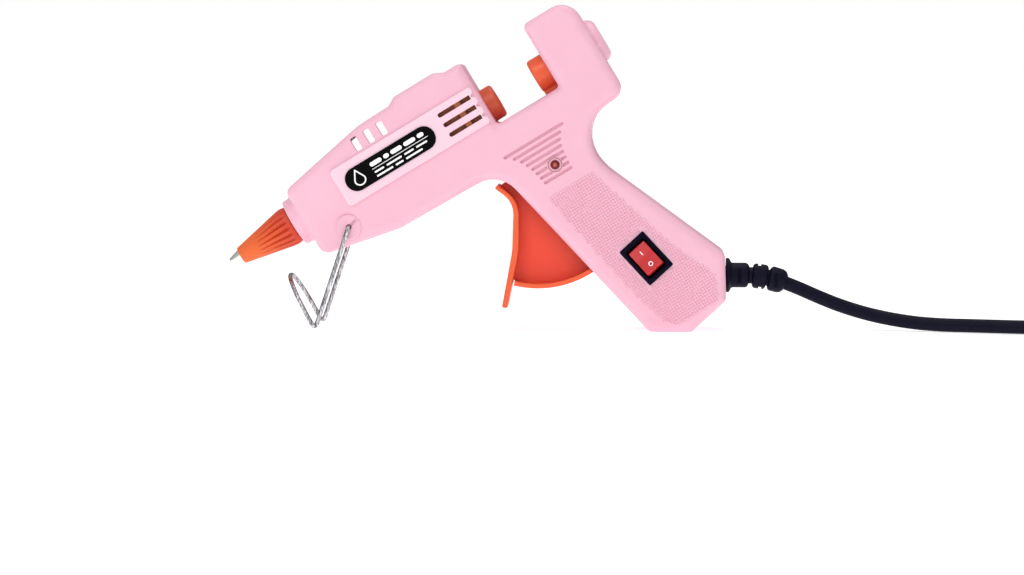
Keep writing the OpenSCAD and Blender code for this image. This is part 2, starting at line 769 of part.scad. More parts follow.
module cord_inner() {
    color("midnightblue") at_relief() rotate([0, 90, 0])
        translate([0, 0, -15.5]) cylinder(r = cord_d / 2, h = 15.5 - relief_root);
}

module cord_clamp() {
    color("pink") at_relief() difference() {
        box([-13, 0.6, -7.5], [-8, 4.6, 7.5]);
        rotate([0, 90, 0]) cylinder(r = cord_d / 2, h = cut, center = true);
        for (z = [-5.2, 5.2]) translate([-10.5, 0, z]) rotate([90, 0, 0])
            cylinder(r = 1.05, h = cut, center = true);
    }
}

module clamp_screws() {
    color("silver") at_relief() for (z = [-5.2, 5.2]) translate([-10.5, 0, z]) rotate([-90, 0, 0]) {
        translate([0, 0, -5]) cylinder(r = 1, h = 9.6);
        translate([0, 0, 4.6]) cylinder(r = 2, h = 1.6);
    }
}

// Sleeve moulded on the cord: a flange on each side of the wall, then three rings
// that bow down under the cord's weight
module strain_relief() {
    ring_r = relief_d / 2;
    neck_r = cord_d / 2 + 0.4;
    stations = [[-relief_root, ring_r + 0.8], [-relief_root + 1, ring_r + 0.8],
        [-relief_root + 1.1, ring_r - 1.1], [0.3, ring_r - 1.1], [0.32, ring_r + 1.6],
        [1.5, ring_r + 1.4], [2.2, ring_r + 0.1], [7, ring_r], [8, ring_r - 1], [8.2, neck_r],
        [9, neck_r], [9.2, ring_r - 0.6], [10.4, ring_r], [13.4, ring_r], [14, ring_r - 0.8],
        [14.1, neck_r], [14.5, neck_r], [14.6, ring_r - 0.8], [15.6, ring_r], [18.4, ring_r],
        [19.8, ring_r - 0.8], [relief_len, neck_r]];
    route = [for (s = stations) [s[0], 0, -relief_bow * pow(max(0, s[0] - 6), 2)]];
    color("midnightblue") at_relief() tube(route, [for (s = stations) s[1]], 24);
}

// ---- free cord and plug ----

module cord_lead() {
    color("midnightblue") tube(CORD_LEAD, cord_d / 2);
}

module cord_tail() {
    color("midnightblue") tube(CORD_TAIL, cord_d / 2);
}

// Outline with round ends about the hank's middle
module round_ends(r) {
    for (x = [-hank_run / 2, hank_run / 2]) translate([x, 0]) circle(r = r);
    square([hank_run, 2 * r], center = true);
}

module cord_hank() {
    color("midnightblue") translate([hank_x, 0, tie_t]) linear_extrude(hank_rows * cord_d)
        difference() {
            round_ends(hank_r + cord_d * 1.5);
            round_ends(hank_r - cord_d / 2);
        }
}

module cord_tie() {
    w = hank_r + cord_d * 1.5;
    h = hank_rows * cord_d;
    color("black") translate([hank_x - 12, 0, tie_t]) difference() {
        box([0, -w - tie_t, -tie_t], [tie_w, w + tie_t, h + tie_t]);
        box([-1, -w, 0], [tie_w + 1, w, h]);
    }
}

module plug_body() {
    color("midnightblue") translate([plug_x, plug_y, plug_z]) {
        translate([plug_l / 2, 0, 0]) cube([plug_l, plug_w, plug_t], center = true);
        rotate([0, -90, 0]) cylinder(r1 = 5, r2 = cord_d / 2 + 0.6, h = 12);
    }
}

module plug_blades() {
    color("gold") translate([plug_x + plug_l, plug_y, plug_z])
        for (y = [-blade_gap / 2, blade_gap / 2])
            box([0, y - 0.75, -3.2], [blade_l, y + 0.75, 3.2]);
}

left_shell();
right_shell();
housing_screws();
nozzle_tip();
nozzle_sleeve();
melt_chamber();
ptc_heater();
heater_clip();
inlet_sleeve();
carriage();
grip_tooth();
carriage_pin();
trigger();
trigger_pin();
return_spring();
wire_stand();
switch_body();
switch_rocker();
switch_terminals();
lamp_lens();
lamp_board();
label_plate();
heater_wires();
lamp_wires();
cord_inner();
cord_clamp();
clamp_screws();
strain_relief();
cord_lead();
cord_hank();
cord_tie();
cord_tail();
plug_body();
plug_blades();
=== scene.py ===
import json
import math

import bmesh
import bpy
from mathutils import Matrix, Vector


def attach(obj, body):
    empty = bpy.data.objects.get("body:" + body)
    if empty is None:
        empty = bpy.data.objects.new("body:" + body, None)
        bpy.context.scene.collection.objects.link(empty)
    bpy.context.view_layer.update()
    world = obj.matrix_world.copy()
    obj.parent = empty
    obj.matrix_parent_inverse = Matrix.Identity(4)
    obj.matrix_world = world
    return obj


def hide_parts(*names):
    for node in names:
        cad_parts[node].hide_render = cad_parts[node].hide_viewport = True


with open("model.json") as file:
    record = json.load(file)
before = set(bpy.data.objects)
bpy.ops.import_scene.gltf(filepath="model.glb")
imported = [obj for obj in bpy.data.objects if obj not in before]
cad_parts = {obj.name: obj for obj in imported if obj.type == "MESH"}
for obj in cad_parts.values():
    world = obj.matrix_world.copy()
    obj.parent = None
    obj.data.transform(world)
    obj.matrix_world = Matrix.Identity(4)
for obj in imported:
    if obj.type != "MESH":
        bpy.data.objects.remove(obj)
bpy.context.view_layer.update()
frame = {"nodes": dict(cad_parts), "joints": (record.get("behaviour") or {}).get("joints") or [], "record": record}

# -------- the gun's own frame
# The gun is drawn lying level, in millimetres, with X along the barrel from the
# housing's nose, Z up and Y across, and GUN stands it on its wire leg and heel.
MM = 0.001
mounts = {m["name"]: m for m in frame["record"]["mounts"]}
ALONG = Vector(mounts["stick_entry"]["axis"])
UP = Vector((-ALONG.z, 0, ALONG.x))
ENTRY_X = 120 * MM
NOSE = Vector(mounts["stick_entry"]["pos_m"]) - ALONG * ENTRY_X
GUN = Matrix.Translation(NOSE) @ Matrix((
    (ALONG.x, 0, UP.x, 0), (0, 1, 0, 0), (ALONG.z, 0, UP.z, 0), (0, 0, 0, 1))) @ Matrix.Scale(MM, 4)
BENCH = Matrix.Scale(MM, 4)

HALF_W = 13.5
WALL = 2.0
EDGE_R = 3.0
NOSE_HALF_W = 10.3
TAPER_FROM, TAPER_TO = 3.7, 24.0
SADDLE_Z = -6.9
BARREL_REAR = 75.75
HOOK_FRONT, HOOK_REAR = 99.7, 117.5
PASSAGE_R = 4.0
RING_R = 5.85
PIVOT = Vector((76.3, -31.7))
FEED_PIN = PIVOT + Vector((5, 19))
LAMP = Vector((85.4, -28.1))
STAND_AT = Vector((16.2, -10.5))
SWITCH_AT = Vector((95.2, -70.1))
SWITCH_TILT = math.radians(11.7)
SCREWS = [(8.3, -10.9), (54, 13.2), (109, 11.5), (108.5, -13), (97.5, -92.5), (58, -14)]
VENT_Z = [5.5, 1.8, -1.9]
WINDOW_Z = 9.4
RELIEF_ROOT = (114.35, 0, -89.1)
HEEL = Vector((83.45, -91.75))
HEEL_REAR = Vector((95.254, -98.899))
SIDE_OUTLINE = [
    (3.7, -14, 3.5), (30.5, -19.7, 15), (68.2, -20.5, 10), (*HEEL, 2.5), (*HEEL_REAR, 1.5),
    (110.5, -95.9, 2.5), (118.2, -82.3, 3), (98.9, -36.5, 20), (98.5, -20, 12.5),
    (HOOK_REAR, -19.8, 4.5), (HOOK_REAR, 16.8, 6.5), (HOOK_FRONT, 16.8, 2.2),
    (HOOK_FRONT, SADDLE_Z, 1.2), (BARREL_REAR, SADDLE_Z, 1.2), (BARREL_REAR, 16.9, 1.5),
    (69.4, 16.9, 1), (66.2, 18.6, 2), (51, 18.6, 2), (48.2, 16.9, 1), (36, 16.6, 25),
    (3.7, 10.7, 3)]


# -------- finishes
def linear(hex_colour):
    """A Blender colour from an sRGB hex value."""
    parts = [int(hex_colour[i:i + 2], 16) / 255 for i in (1, 3, 5)]
    return (*[p / 12.92 if p <= 0.04045 else ((p + 0.055) / 1.055) ** 2.4 for p in parts], 1)


def add(tree, kind, inputs=None, **settings):
    """A node with its settings, and its inputs set to a value or linked to a socket."""
    made = tree.nodes.new(kind)
    for name, value in settings.items():
        setattr(made, name, value)
    for name, value in (inputs or {}).items():
        if isinstance(value, bpy.types.NodeSocket):
            tree.links.new(value, made.inputs[name])
        else:
            made.inputs[name].default_value = value
    return made


def finish(name, **shader):
    """A new material, its node tree, its Principled shader and its object coordinates."""
    made = bpy.data.materials.new(name)
    made.use_nodes = True
    tree = made.node_tree
    principled = tree.nodes["Principled BSDF"]
    for socket, value in shader.items():
        principled.inputs[socket.replace("_", " ")].default_value = value
    where = add(tree, "ShaderNodeTexCoord").outputs["Object"]
    return made, tree, principled, where


def mottle(tree, where, size_mm, low, high):
    """A soft change from one colour to the other, in patches of about size_mm."""
    noise = add(tree, "ShaderNodeTexNoise", {"Vector": where, "Scale": 1 / (size_mm * MM), "Detail": 4})
    return add(tree, "ShaderNodeMix", {"Factor": noise.outputs["Fac"], 6: linear(low), 7: linear(high)},
               data_type="RGBA").outputs[2]


def spread(tree, value, low, high):
    """A texture's 0 to 1 moved to the range low to high."""
    return add(tree, "ShaderNodeMapRange", {"Value": value, "To Min": low, "To Max": high}).outputs["Result"]


def roughen(tree, principled, height, depth_mm):
    """Bumps of depth_mm on the surface."""
    bump = add(tree, "ShaderNodeBump", {"Height": height, "Distance": depth_mm * MM, "Strength": 1.0})
    tree.links.new(bump.outputs["Normal"], principled.inputs["Normal"])


def moulded(name, low, high, roughness, grain_mm=0.45, depth_mm=0.02, **shader):
    """Injection-moulded plastic: the grain of the spark-eroded tool, drawn coarser than
    its real tenth of a millimetre so that it shows, and the faint flow of the colour."""
    made, tree, principled, where = finish(name, IOR=1.49, **shader)
    tree.links.new(mottle(tree, where, 14, low, high), principled.inputs["Base Color"])
    grain = add(tree, "ShaderNodeTexNoise", {"Vector": where, "Scale": 1 / (grain_mm * MM), "Detail": 3})
    worn = add(tree, "ShaderNodeTexNoise", {"Vector": where, "Scale": 1 / (9 * MM), "Detail": 2})
    tree.links.new(spread(tree, worn.outputs["Fac"], roughness - 0.06, roughness + 0.08),
                   principled.inputs["Roughness"])
    roughen(tree, principled, grain.outputs["Fac"], depth_mm)
    return made


def metal(name, colour, roughness, scratch_mm=0.25, stretch=(1, 1, 1), depth_mm=0.01, dark=None):
    """Bare or plated metal with fine scratches, long where stretch is small. With a dark
    colour it is spangled in both."""
    made, tree, principled, where = finish(name, Metallic=1.0, Base_Color=linear(colour))
    turned = add(tree, "ShaderNodeMapping", {"Vector": where, "Scale": stretch}).outputs["Vector"]
    lines = add(tree, "ShaderNodeTexNoise", {"Vector": turned, "Scale": 1 / (scratch_mm * MM), "Detail": 5})
    tree.links.new(spread(tree, lines.outputs["Fac"], roughness - 0.1, roughness + 0.15),
                   principled.inputs["Roughness"])
    roughen(tree, principled, lines.outputs["Fac"], depth_mm)
    if dark:
        spangle = add(tree, "ShaderNodeMapRange", {"Value": lines.outputs["Fac"], "From Min": 0.4, "From Max": 0.62})
        tree.links.new(add(tree, "ShaderNodeMix", {"Factor": spangle.outputs["Result"], 6: linear(dark),
                                                   7: linear(colour)}, data_type="RGBA").outputs[2],
                       principled.inputs["Base Color"])
    return made


# Moulded ABS, pale pink, satin: soft broad highlights
PINK = moulded("pink_moulded_abs", "#E8AFC2", "#EDB9CB", 0.42, Subsurface_Weight=0.06,
               Subsurface_Radius=(0.002, 0.0012, 0.001), Subsurface_Scale=0.5)
# The same ABS where the tool was polished, a smoother finish; the raised panel is drawn in a lighter pink
PANEL_PINK = moulded("pink_polished_abs", "#EBC6D5", "#F0CEDC", 0.34, depth_mm=0.008)
# Moulded glass-filled nylon, orange: heat-proof, slightly waxy
ORANGE = moulded("orange_nylon", "#E4562A", "#EC6231", 0.38, Subsurface_Weight=0.05,
                 Subsurface_Radius=(0.002, 0.0008, 0.0003), Subsurface_Scale=0.4)
# The trigger's thin web: the same nylon drawn redder than the rim, painted shade; a little light also passes through it
WEB_SHADE_RED = moulded("red_orange_nylon_web_painted_shade", "#EC4229", "#F34E2D", 0.42, Subsurface_Weight=0.1,
                  Subsurface_Radius=(0.002, 0.0006, 0.0003), Subsurface_Scale=0.5)
# The inlet sleeve's darker, redder nylon
INLET_RED = moulded("red_brown_nylon", "#BC4524", "#CA502A", 0.4)
# Brown nylon sheet behind the vents: painted shade, drawn where the inside of the barrel lies in shadow behind the
# slots
VENT_SHADE_BROWN = moulded("painted_shade_brown_nylon", "#9C5528", "#B06A36", 0.5)
# Silicone nozzle sleeve, orange: dull and a little rubbery
SILICONE = moulded("orange_silicone", "#DC5A20", "#E66828", 0.5, depth_mm=0.03)


def reddened(made, place, low_mm, high_mm, colour):
    """Blends a finish to a second colour along the barrel."""
    tree = made.node_tree
    principled = tree.nodes["Principled BSDF"]
    where = tree.nodes["Texture Coordinate"].outputs["Object"]
    first = principled.inputs["Base Color"].links[0].from_socket
    start = place.dot(ALONG)
    along = add(tree, "ShaderNodeVectorMath", {0: where, 1: ALONG}, operation="DOT_PRODUCT")
    share = add(tree, "ShaderNodeMapRange", {"Value": along.outputs["Value"], "From Min": start + low_mm * MM,
                                             "From Max": start + high_mm * MM})
    blend = add(tree, "ShaderNodeMix", {"Factor": share.outputs["Result"], 6: first, 7: linear(colour)},
                data_type="RGBA")
    tree.links.new(blend.outputs[2], principled.inputs["Base Color"])


reddened(SILICONE, NOSE, -16, -2, "#CC3F22")
# Moulded PA66 bezel, blue-black, semi-gloss
BLACK = moulded("black_pa66", "#050314", "#09061C", 0.45, Specular_IOR_Level=0.06)
# Red polycarbonate rocker, glossy
ROCKER_RED = moulded("red_polycarbonate", "#B81E24", "#C4282A", 0.25, depth_mm=0.002, Coat_Weight=0.15)
# Soft PVC of the cord's jacket, navy-black, with a faint drawn grain
PVC = moulded("navy_soft_pvc", "#08071A", "#0E0C22", 0.5, grain_mm=0.3, depth_mm=0.015, Specular_IOR_Level=0.1)
# Printed polyester label, black and glossy
LABEL_BLACK = moulded("black_polyester_label", "#020203", "#050506", 0.4, depth_mm=0.003, Specular_IOR_Level=0.06)
# White pad-printed ink
INK = moulded("white_ink", "#F4F4F2", "#FFFFFF", 0.5, depth_mm=0.004)
# Bright zinc-plated steel wire: drawn lines and small bright speckles
WIRE_STEEL = metal("zinc_plated_steel_wire", "#DADCDF", 0.28, 0.35, (1, 1, 0.2), 0.01, dark="#6C6E73")
# Nickel-plated brass nozzle, turned, drawn with fine scratches
NICKEL = metal("nickel_plated_brass", "#DCDAD6", 0.22, 0.2)
# Steel of the screws and the heater's clip, darkened
SCREW_STEEL = metal("black_oxide_screw_steel", "#8B8D92", 0.34)
# Ground steel of the pins, tooth and return spring
SPRING_STEEL = metal("spring_steel", "#B8BABD", 0.3)
# Cast aluminium of the melt chamber, slightly grainy
CAST = metal("cast_aluminium", "#C6C8CA", 0.48, 0.6, (1, 1, 1), 0.05)
# Tinned brass of the blades and terminals
TINNED = metal("tinned_brass", "#D8C58A", 0.3)
# Barium titanate ceramic of the heater, matt
CERAMIC = moulded("ptc_ceramic", "#9C6A48", "#B07C56", 0.7, depth_mm=0.05)
# Solder mask on the lamp's glass-epoxy board
BOARD = moulded("green_fr4_board", "#1F6B3A", "#2A7D47", 0.35)
# Woven glass-fibre sleeve of the heater's wires
WHITE_WIRE = moulded("white_fibreglass_wire", "#EDEBE4", "#FAF8F2", 0.6)
# PVC insulation of the lamp's wires
RED_WIRE = moulded("red_pvc_wire", "#B3221D", "#C92E27", 0.4)
# A red-brown ring in the groove round the lamp: painted shade, the groove's shadow line
LAMP_GROOVE_SHADE = moulded("painted_groove_shade", "#A65A55", "#B8706A", 0.6)
# Nylon of the tie round the hank
CABLE_TIE = moulded("black_nylon_tie", "#0B0B0C", "#161617", 0.36)


def lamp_epoxy():
    """Dark red epoxy lens: the chip shows as a paler dot at its middle."""
    made, tree, principled, where = finish("red_epoxy_lens", IOR=1.5, Roughness=0.4, Specular_IOR_Level=0.2)
    centre = GUN @ Vector((LAMP.x, -HALF_W, LAMP.y))
    flat = add(tree, "ShaderNodeVectorMath", {0: where, 1: (1, 0, 1)}, operation="MULTIPLY")
    away = add(tree, "ShaderNodeVectorMath", {0: flat.outputs["Vector"], 1: (centre.x, 0, centre.z)},
               operation="DISTANCE")
    near = add(tree, "ShaderNodeMapRange", {"Value": away.outputs["Value"], "From Min": 0.25 * MM,
                                            "From Max": 0.9 * MM}).outputs["Result"]
    shade = add(tree, "ShaderNodeMix", {"Factor": near, 6: linear("#C4665A"), 7: linear("#6A1C14")},
                data_type="RGBA").outputs[2]
    tree.links.new(shade, principled.inputs["Base Color"])
    return made


LENS_RED = lamp_epoxy()


# -------- shaping
def ring(corners, inset=0.0, steps=7):
    """Points of a closed outline of corners (x, z, radius), moved inwards by inset."""
    points = []
    count = len(corners)
    for i, (x, z, radius) in enumerate(corners):
        here = Vector((x, z))
        e1 = (here - Vector(corners[i - 1][:2])).normalized()
        e2 = (Vector(corners[(i + 1) % count][:2]) - here).normalized()
        n1, n2 = Vector((-e1.y, e1.x)), Vector((-e2.y, e2.x))
        here = here + inset * (n1 + n2) / (1 + n1.dot(n2))
        turn = math.atan2(e1.x * e2.y - e1.y * e2.x, e1.dot(e2))
        radius = max(0.03, radius - inset if turn > 0 else radius + inset)
        start = here - e1 * radius * math.tan(abs(turn) / 2)
        centre = start + n1 * radius * math.copysign(1, turn)
        for k in range(steps + 1):
            a = turn * k / steps
            s = start - centre
            points.append(centre + Vector((s.x * math.cos(a) - s.y * math.sin(a),
                                           s.x * math.sin(a) + s.y * math.cos(a))))
    return points


def loft(layers):
    """A closed solid through rings of as many points each, extruded from one to the next."""
    bm = bmesh.new()
    place = bm.verts.layers.int.new("place")
    verts = [bm.verts.new(p) for p in layers[0]]
    for k, v in enumerate(verts):
        v[place] = k
    bm.faces.new(verts)
    loop = [bm.edges.get((verts[k - 1], verts[k])) for k in range(len(verts))]
    for layer in layers[1:]:
        made = bmesh.ops.extrude_edge_only(bm, edges=loop)["geom"]
        fresh = [v for v in made if isinstance(v, bmesh.types.BMVert)]
        for v in fresh:
            v.co = layer[v[place]]
        kept = set(fresh)
        loop = [e for e in made if isinstance(e, bmesh.types.BMEdge) and set(e.verts) <= kept]
    bmesh.ops.edgenet_fill(bm, edges=loop)
    bmesh.ops.recalc_face_normals(bm, faces=bm.faces)
    return bm


def plate(corners, layers, steps=7):
    """A plate in the gun's XZ plane, from its outline and a list of (y, inset)."""
    return loft([[Vector((p.x, y, p.y)) for p in ring(corners, inset, steps)] for y, inset in layers])


def slab(corners, y0, y1, edge=0.0, steps=7):
    """A plate from y0 to y1 with its edges rounded by edge."""
    if not edge:
        return plate(corners, [(y0, 0), (y1, 0)], steps)
    arc = [(edge * (1 - math.sin(a)), edge * (1 - math.cos(a))) for a in (0, 0.52, 1.05, math.pi / 2)]
    return plate(corners, [(y0 + o, i) for o, i in reversed(arc)] + [(y1 - o, i) for o, i in arc], steps)


def rod(at, radius, y0, y1, edge=0.0):
    """A round bar across the gun, with its two ends' edges bevelled."""
    bm = bmesh.new()
    middle_y = (y0 + y1) / 2
    bmesh.ops.create_cone(bm, cap_ends=True, segments=64, radius1=radius, radius2=radius, depth=y1 - y0,
                          matrix=Matrix.Translation((at[0], middle_y, at[1])) @ Matrix.Rotation(math.pi / 2, 4, "X"))
    if edge:
        rims = [e for e in bm.edges if any(len(f.verts) > 4 for f in e.link_faces)]
        bmesh.ops.bevel(bm, geom=rims, offset=edge, segments=3, profile=0.5, affect="EDGES", material=-1)
    return bm


def block(low, high, edge=0.0):
    """A box between two corners, with its edges rounded by edge."""
    bm = bmesh.new()
    low, high = Vector(low), Vector(high)
    bmesh.ops.create_cube(bm, size=1, matrix=Matrix.Translation((low + high) / 2) @ Matrix.Diagonal((*(high - low), 1)))
    if edge:
        bmesh.ops.bevel(bm, geom=bm.edges[:], offset=edge, segments=3, profile=0.5, affect="EDGES", material=-1)
    return bm


def spun(profile, steps=96):
    """A solid of revolution about the barrel's axis, from points (radius, x)."""
    bm = bmesh.new()
    verts = [bm.verts.new((x, 0, radius)) for radius, x in profile]
    edges = [bm.edges.new((a, b)) for a, b in zip(verts, verts[1:] + verts[:1])]
    bmesh.ops.spin(bm, geom=verts + edges, cent=(0, 0, 0), axis=(1, 0, 0), dvec=(0, 0, 0),
                   angle=math.tau, steps=steps, use_merge=True, use_duplicate=False)
    bmesh.ops.remove_doubles(bm, verts=bm.verts, dist=1e-4)
    bmesh.ops.recalc_face_normals(bm, faces=bm.faces)
    return bm


def facing_side(bm, centre):
    """Turns a solid of revolution so that its axis points out of the gun's side."""
    bmesh.ops.transform(bm, matrix=Matrix.Translation(centre) @ Matrix.Rotation(math.pi / 2, 4, "Z"), verts=bm.verts)
    return bm


def joined(*shapes):
    """Several shapes in one mesh, each still closed in itself."""
    bm = bmesh.new()
    for shape in shapes:
        mesh = bpy.data.meshes.new("part")
        shape.to_mesh(mesh)
        bm.from_mesh(mesh)
        bpy.data.meshes.remove(mesh)
        shape.free()
    return bm


def scratch_object(bm):
    """A short-lived object for a Boolean."""
    mesh = bpy.data.meshes.new("scratch")
    bm.to_mesh(mesh)
    made = bpy.data.objects.new("scratch", mesh)
    bpy.context.scene.collection.objects.link(made)
    return made


def carved(bm, tool, how="DIFFERENCE"):
    """The shape with the tool cut away from it, joined to it or kept in common."""
    bmesh.ops.triangulate(tool, faces=[f for f in tool.faces if len(f.verts) > 4])
    bmesh.ops.triangulate(bm, faces=[f for f in bm.faces if len(f.verts) > 4])
    body, cutter = scratch_object(bm), scratch_object(tool)
    step = body.modifiers.new("cut", "BOOLEAN")
    step.operation, step.solver, step.object = how, "MANIFOLD", cutter
    graph = bpy.context.evaluated_depsgraph_get()
    mesh = bpy.data.meshes.new_from_object(body.evaluated_get(graph))
    bm.free()
    tool.free()
    bm = bmesh.new()
    bm.from_mesh(mesh)
    for made in (body, cutter):
        data = made.data
        bpy.data.objects.remove(made)
        bpy.data.meshes.remove(data)
    bpy.data.meshes.remove(mesh)
    return bm


def flipped(bm):
    """The shape's mirror image on the other side of the gun."""
    bmesh.ops.scale(bm, vec=(1, -1, 1), verts=bm.verts)
    bmesh.ops.reverse_faces(bm, faces=bm.faces)
    return bm


def piece(name, bm, material, body="housing", replaces=(), place=GUN, sharp=32):
    """A finished piece that rides on its body."""
    bmesh.ops.transform(bm, matrix=place, verts=bm.verts)
    mesh = bpy.data.meshes.new(name)
    bm.to_mesh(mesh)
    bm.free()
    made = bpy.data.objects.new(name, mesh)
    bpy.context.scene.collection.objects.link(made)
    mesh.materials.append(material)
    mesh.shade_smooth()
    mesh.set_sharp_from_angle(angle=math.radians(sharp))
    weigh = made.modifiers.new("even_normals", "WEIGHTED_NORMAL")
    weigh.keep_sharp = True
    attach(made, body)
    if replaces:
        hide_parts(*replaces)
    return made


def wire_mesh(points, radius, resolution):
    """A tube along points, made from a curve, as a bmesh."""
    line = bpy.data.curves.new("wire", "CURVE")
    line.dimensions = "3D"
    line.bevel_depth = radius
    line.bevel_resolution = resolution
    line.use_fill_caps = True
    spline = line.splines.new("POLY")
    spline.points.add(len(points) - 1)
    for k, p in enumerate(points):
        spline.points[k].co = (*p, 1)
    holder = bpy.data.objects.new("wire", line)
    bpy.context.scene.collection.objects.link(holder)
    graph = bpy.context.evaluated_depsgraph_get()
    mesh = bpy.data.meshes.new_from_object(holder.evaluated_get(graph))
    bpy.data.objects.remove(holder)
    bpy.data.curves.remove(line)
    bm = bmesh.new()
    bm.from_mesh(mesh)
    bpy.data.meshes.remove(mesh)
    bmesh.ops.remove_doubles(bm, verts=bm.verts, dist=1e-6)
    bmesh.ops.recalc_face_normals(bm, faces=bm.faces)
    return bm


def smooth_route(points):
    """A Catmull-Rom curve through the points, with four steps between each two."""
    per = 4
    route = []
    ends = [points[0] * 2 - points[1]] + points + [points[-1] * 2 - points[-2]]
    for a, b, c, d in zip(ends, ends[1:], ends[2:], ends[3:]):
        for k in range(per):
            t = k / per
            route.append(0.5 * (2 * b + (c - a) * t + (2 * a - 5 * b + 4 * c - d) * t * t
                                + (3 * b - a - 3 * c + d) * t ** 3))
    return route + [points[-1]]


# -------- camera
# The camera stands some ten gun heights away, a little above the barrel.
middle = Vector((0.0013, 0, 0.0139))
camera = bpy.data.objects.new("camera", bpy.data.cameras.new("camera"))
bpy.context.scene.collection.objects.link(camera)
camera.location = (0.045, -1.15, 0.093)
camera.rotation_mode = "QUATERNION"
camera.rotation_quaternion = (middle - camera.location).to_track_quat("-Z", "Y")
camera.data.sensor_width = 36
camera.data.lens = 121.2
camera.data.clip_start, camera.data.clip_end = 0.02, 20
bpy.context.scene.camera = camera

# -------- the free cord
CORD_R = 2.3
LEAD = [(92, 0, 15.9), (97, 0, 13.9), (103, 0, 11.3), (110, -0.4, 8.5), (118, -1.2, 6), (126, -2.6, 4.2),
        (135, -4.8, 2.9), (144, -7.6, 2.4), (153, -10.8, 2.4), (162, -13.8, 2.4), (171, -16.4, 2.4),
        (180, -18, 2.5), (189, -18.6, 2.7)]
TAIL = [(199, 14, 12.1), (193.6, 12.9, 12.3), (189.1, 9.9, 13), (186.1, 5.3, 14.4), (185, 0, 16.2),
        (186.1, -5.2, 18.2), (189.1, -9.4, 20), (193.6, -12.1, 21.3), (199, -13, 21.7), (205, -13, 21.7)]
HANK_X, HANK_RUN, INNER_R, ROW = 219, 40, 14, 4.6
FIRST_Z = 2.9


def hank():
    """Six turns of the hank: two wide, in three rows, each turn stepping over to the next
    on the arc nearest the gun."""
    outer = INNER_R + ROW
    turns = [(outer, 0), (INNER_R, 0), (INNER_R, 1), (outer, 1), (outer, 2), (INNER_R, 2)]
    step_from = [0.5, 0.42, 0.33, 0.24, 0.14]
    front, rear = HANK_X - HANK_RUN / 2, HANK_X + HANK_RUN / 2
    points = []
    for k, (r, row) in enumerate(turns):
        z = FIRST_Z + row * ROW
        points += [Vector((front + HANK_RUN * i / 4, -r, z)) for i in range(4)]
        for i in range(17):
            a = -math.pi / 2 + math.pi * i / 16
            points.append(Vector((rear + r * math.cos(a), r * math.sin(a), z)))
        points += [Vector((rear - HANK_RUN * i / 4, r, z)) for i in range(1, 4)]
        if k < 5:
            r2, z2 = turns[k + 1][0], FIRST_Z + turns[k + 1][1] * ROW
            for i in range(17):
                s = i / 16
                t = min(1, max(0, (s - step_from[k]) / 0.5))
                t = t * t * (3 - 2 * t)
                a = math.pi / 2 + math.pi * s
                here = r + (r2 - r) * t
                points.append(Vector((front + here * math.cos(a), here * math.sin(a), z + (z2 - z) * t)))
            points.pop()
    return points


lead = smooth_route([Vector(p) for p in LEAD] + [Vector((199, -18.6, FIRST_Z))])
tail = smooth_route([Vector(p) for p in TAIL])
route = lead[:-1] + hank() + tail
cord_curve = bpy.data.curves.new("cord", "CURVE")
cord_curve.dimensions = "3D"
cord_curve.bevel_depth = CORD_R * MM
cord_curve.bevel_resolution = 5
cord_curve.use_fill_caps = True
cord_line = cord_curve.splines.new("POLY")
cord_line.points.add(len(route) - 1)
for k, p in enumerate(route):
    cord_line.points[k].co = (*(p * MM), 1)
cord_line.use_smooth = True
cord = bpy.data.objects.new("mains_cord", cord_curve)
bpy.context.scene.collection.objects.link(cord)
cord_curve.materials.append(PVC)
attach(cord, "housing")
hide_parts("cord_lead", "cord_hank", "cord_tail")

# -------- plug and tie
PLUG = Vector((217, -13, 21.7))
PLUG_L, PLUG_W, PLUG_T = 24, 20, 14.6
BLADE_L, BLADE_H, BLADE_GAP = 17, 6.4, 12.7


def plug_ring(x, w, h, r):
    """One rounded-rectangle ring of the plug, square to X."""
    return [Vector((x, p.x, p.y)) for p in ring(
        [(-w / 2, -h / 2, r), (w / 2, -h / 2, r), (w / 2, h / 2, r), (-w / 2, h / 2, r)], 0, 6)]


stations = [(-12, 5.8, 5.8, 2.8), (-11, 6.8, 6.8, 3.3), (-10, 7, 7, 3.4), (-9.6, 5.8, 5.8, 2.8), (-8.6, 5.8, 5.8, 2.8),
            (-8.2, 7.6, 7.6, 3.7), (-6.2, 7.9, 7.9, 3.8), (-5.8, 6.4, 6.4, 3.1), (-4.8, 6.4, 6.4, 3.1),
            (-4.4, 8.6, 8.6, 4.1), (-2.2, 9, 8.8, 4.2), (-1.8, 7.4, 7.4, 3.5), (-0.8, 7.4, 7.4, 3.5),
            (-0.4, 10, 9, 4), (1, 13.6, 10.6, 4), (3, 16.4, 11.8, 4), (5.5, 17.4, 12.4, 3.8), (9, 16.8, 12, 3.6),
            (13, 17.2, 12.4, 3.2), (16.5, 18.8, 13.4, 2.8), (19.5, 19.8, 14.4, 2.4),
            (PLUG_L - 1.2, PLUG_W, PLUG_T, 2.2),
            (PLUG_L - 0.4, PLUG_W - 0.4, PLUG_T - 0.4, 2), (PLUG_L, PLUG_W - 1.6, PLUG_T - 1.6, 1.6)]
plug = loft([[PLUG + p for p in plug_ring(*s)] for s in stations])
plug_piece = piece("plug_moulding", plug, PVC, replaces=["plug_body"], place=BENCH, sharp=40)


def blade(side):
    """One flat blade with a rounded tip and the small hole near it."""
    y = PLUG.y + side * BLADE_GAP / 2
    x0, x1 = PLUG.x + PLUG_L - 1, PLUG.x + PLUG_L + BLADE_L
    shape = slab([(x0, PLUG.z - BLADE_H / 2, 0.1), (x1, PLUG.z - BLADE_H / 2, 1.6),
                  (x1, PLUG.z + BLADE_H / 2, 1.6), (x0, PLUG.z + BLADE_H / 2, 0.1)], y - 0.75, y + 0.75, 0.25)
    return carved(shape, rod((x1 - 3.2, PLUG.z), 1.5, y - 3, y + 3))


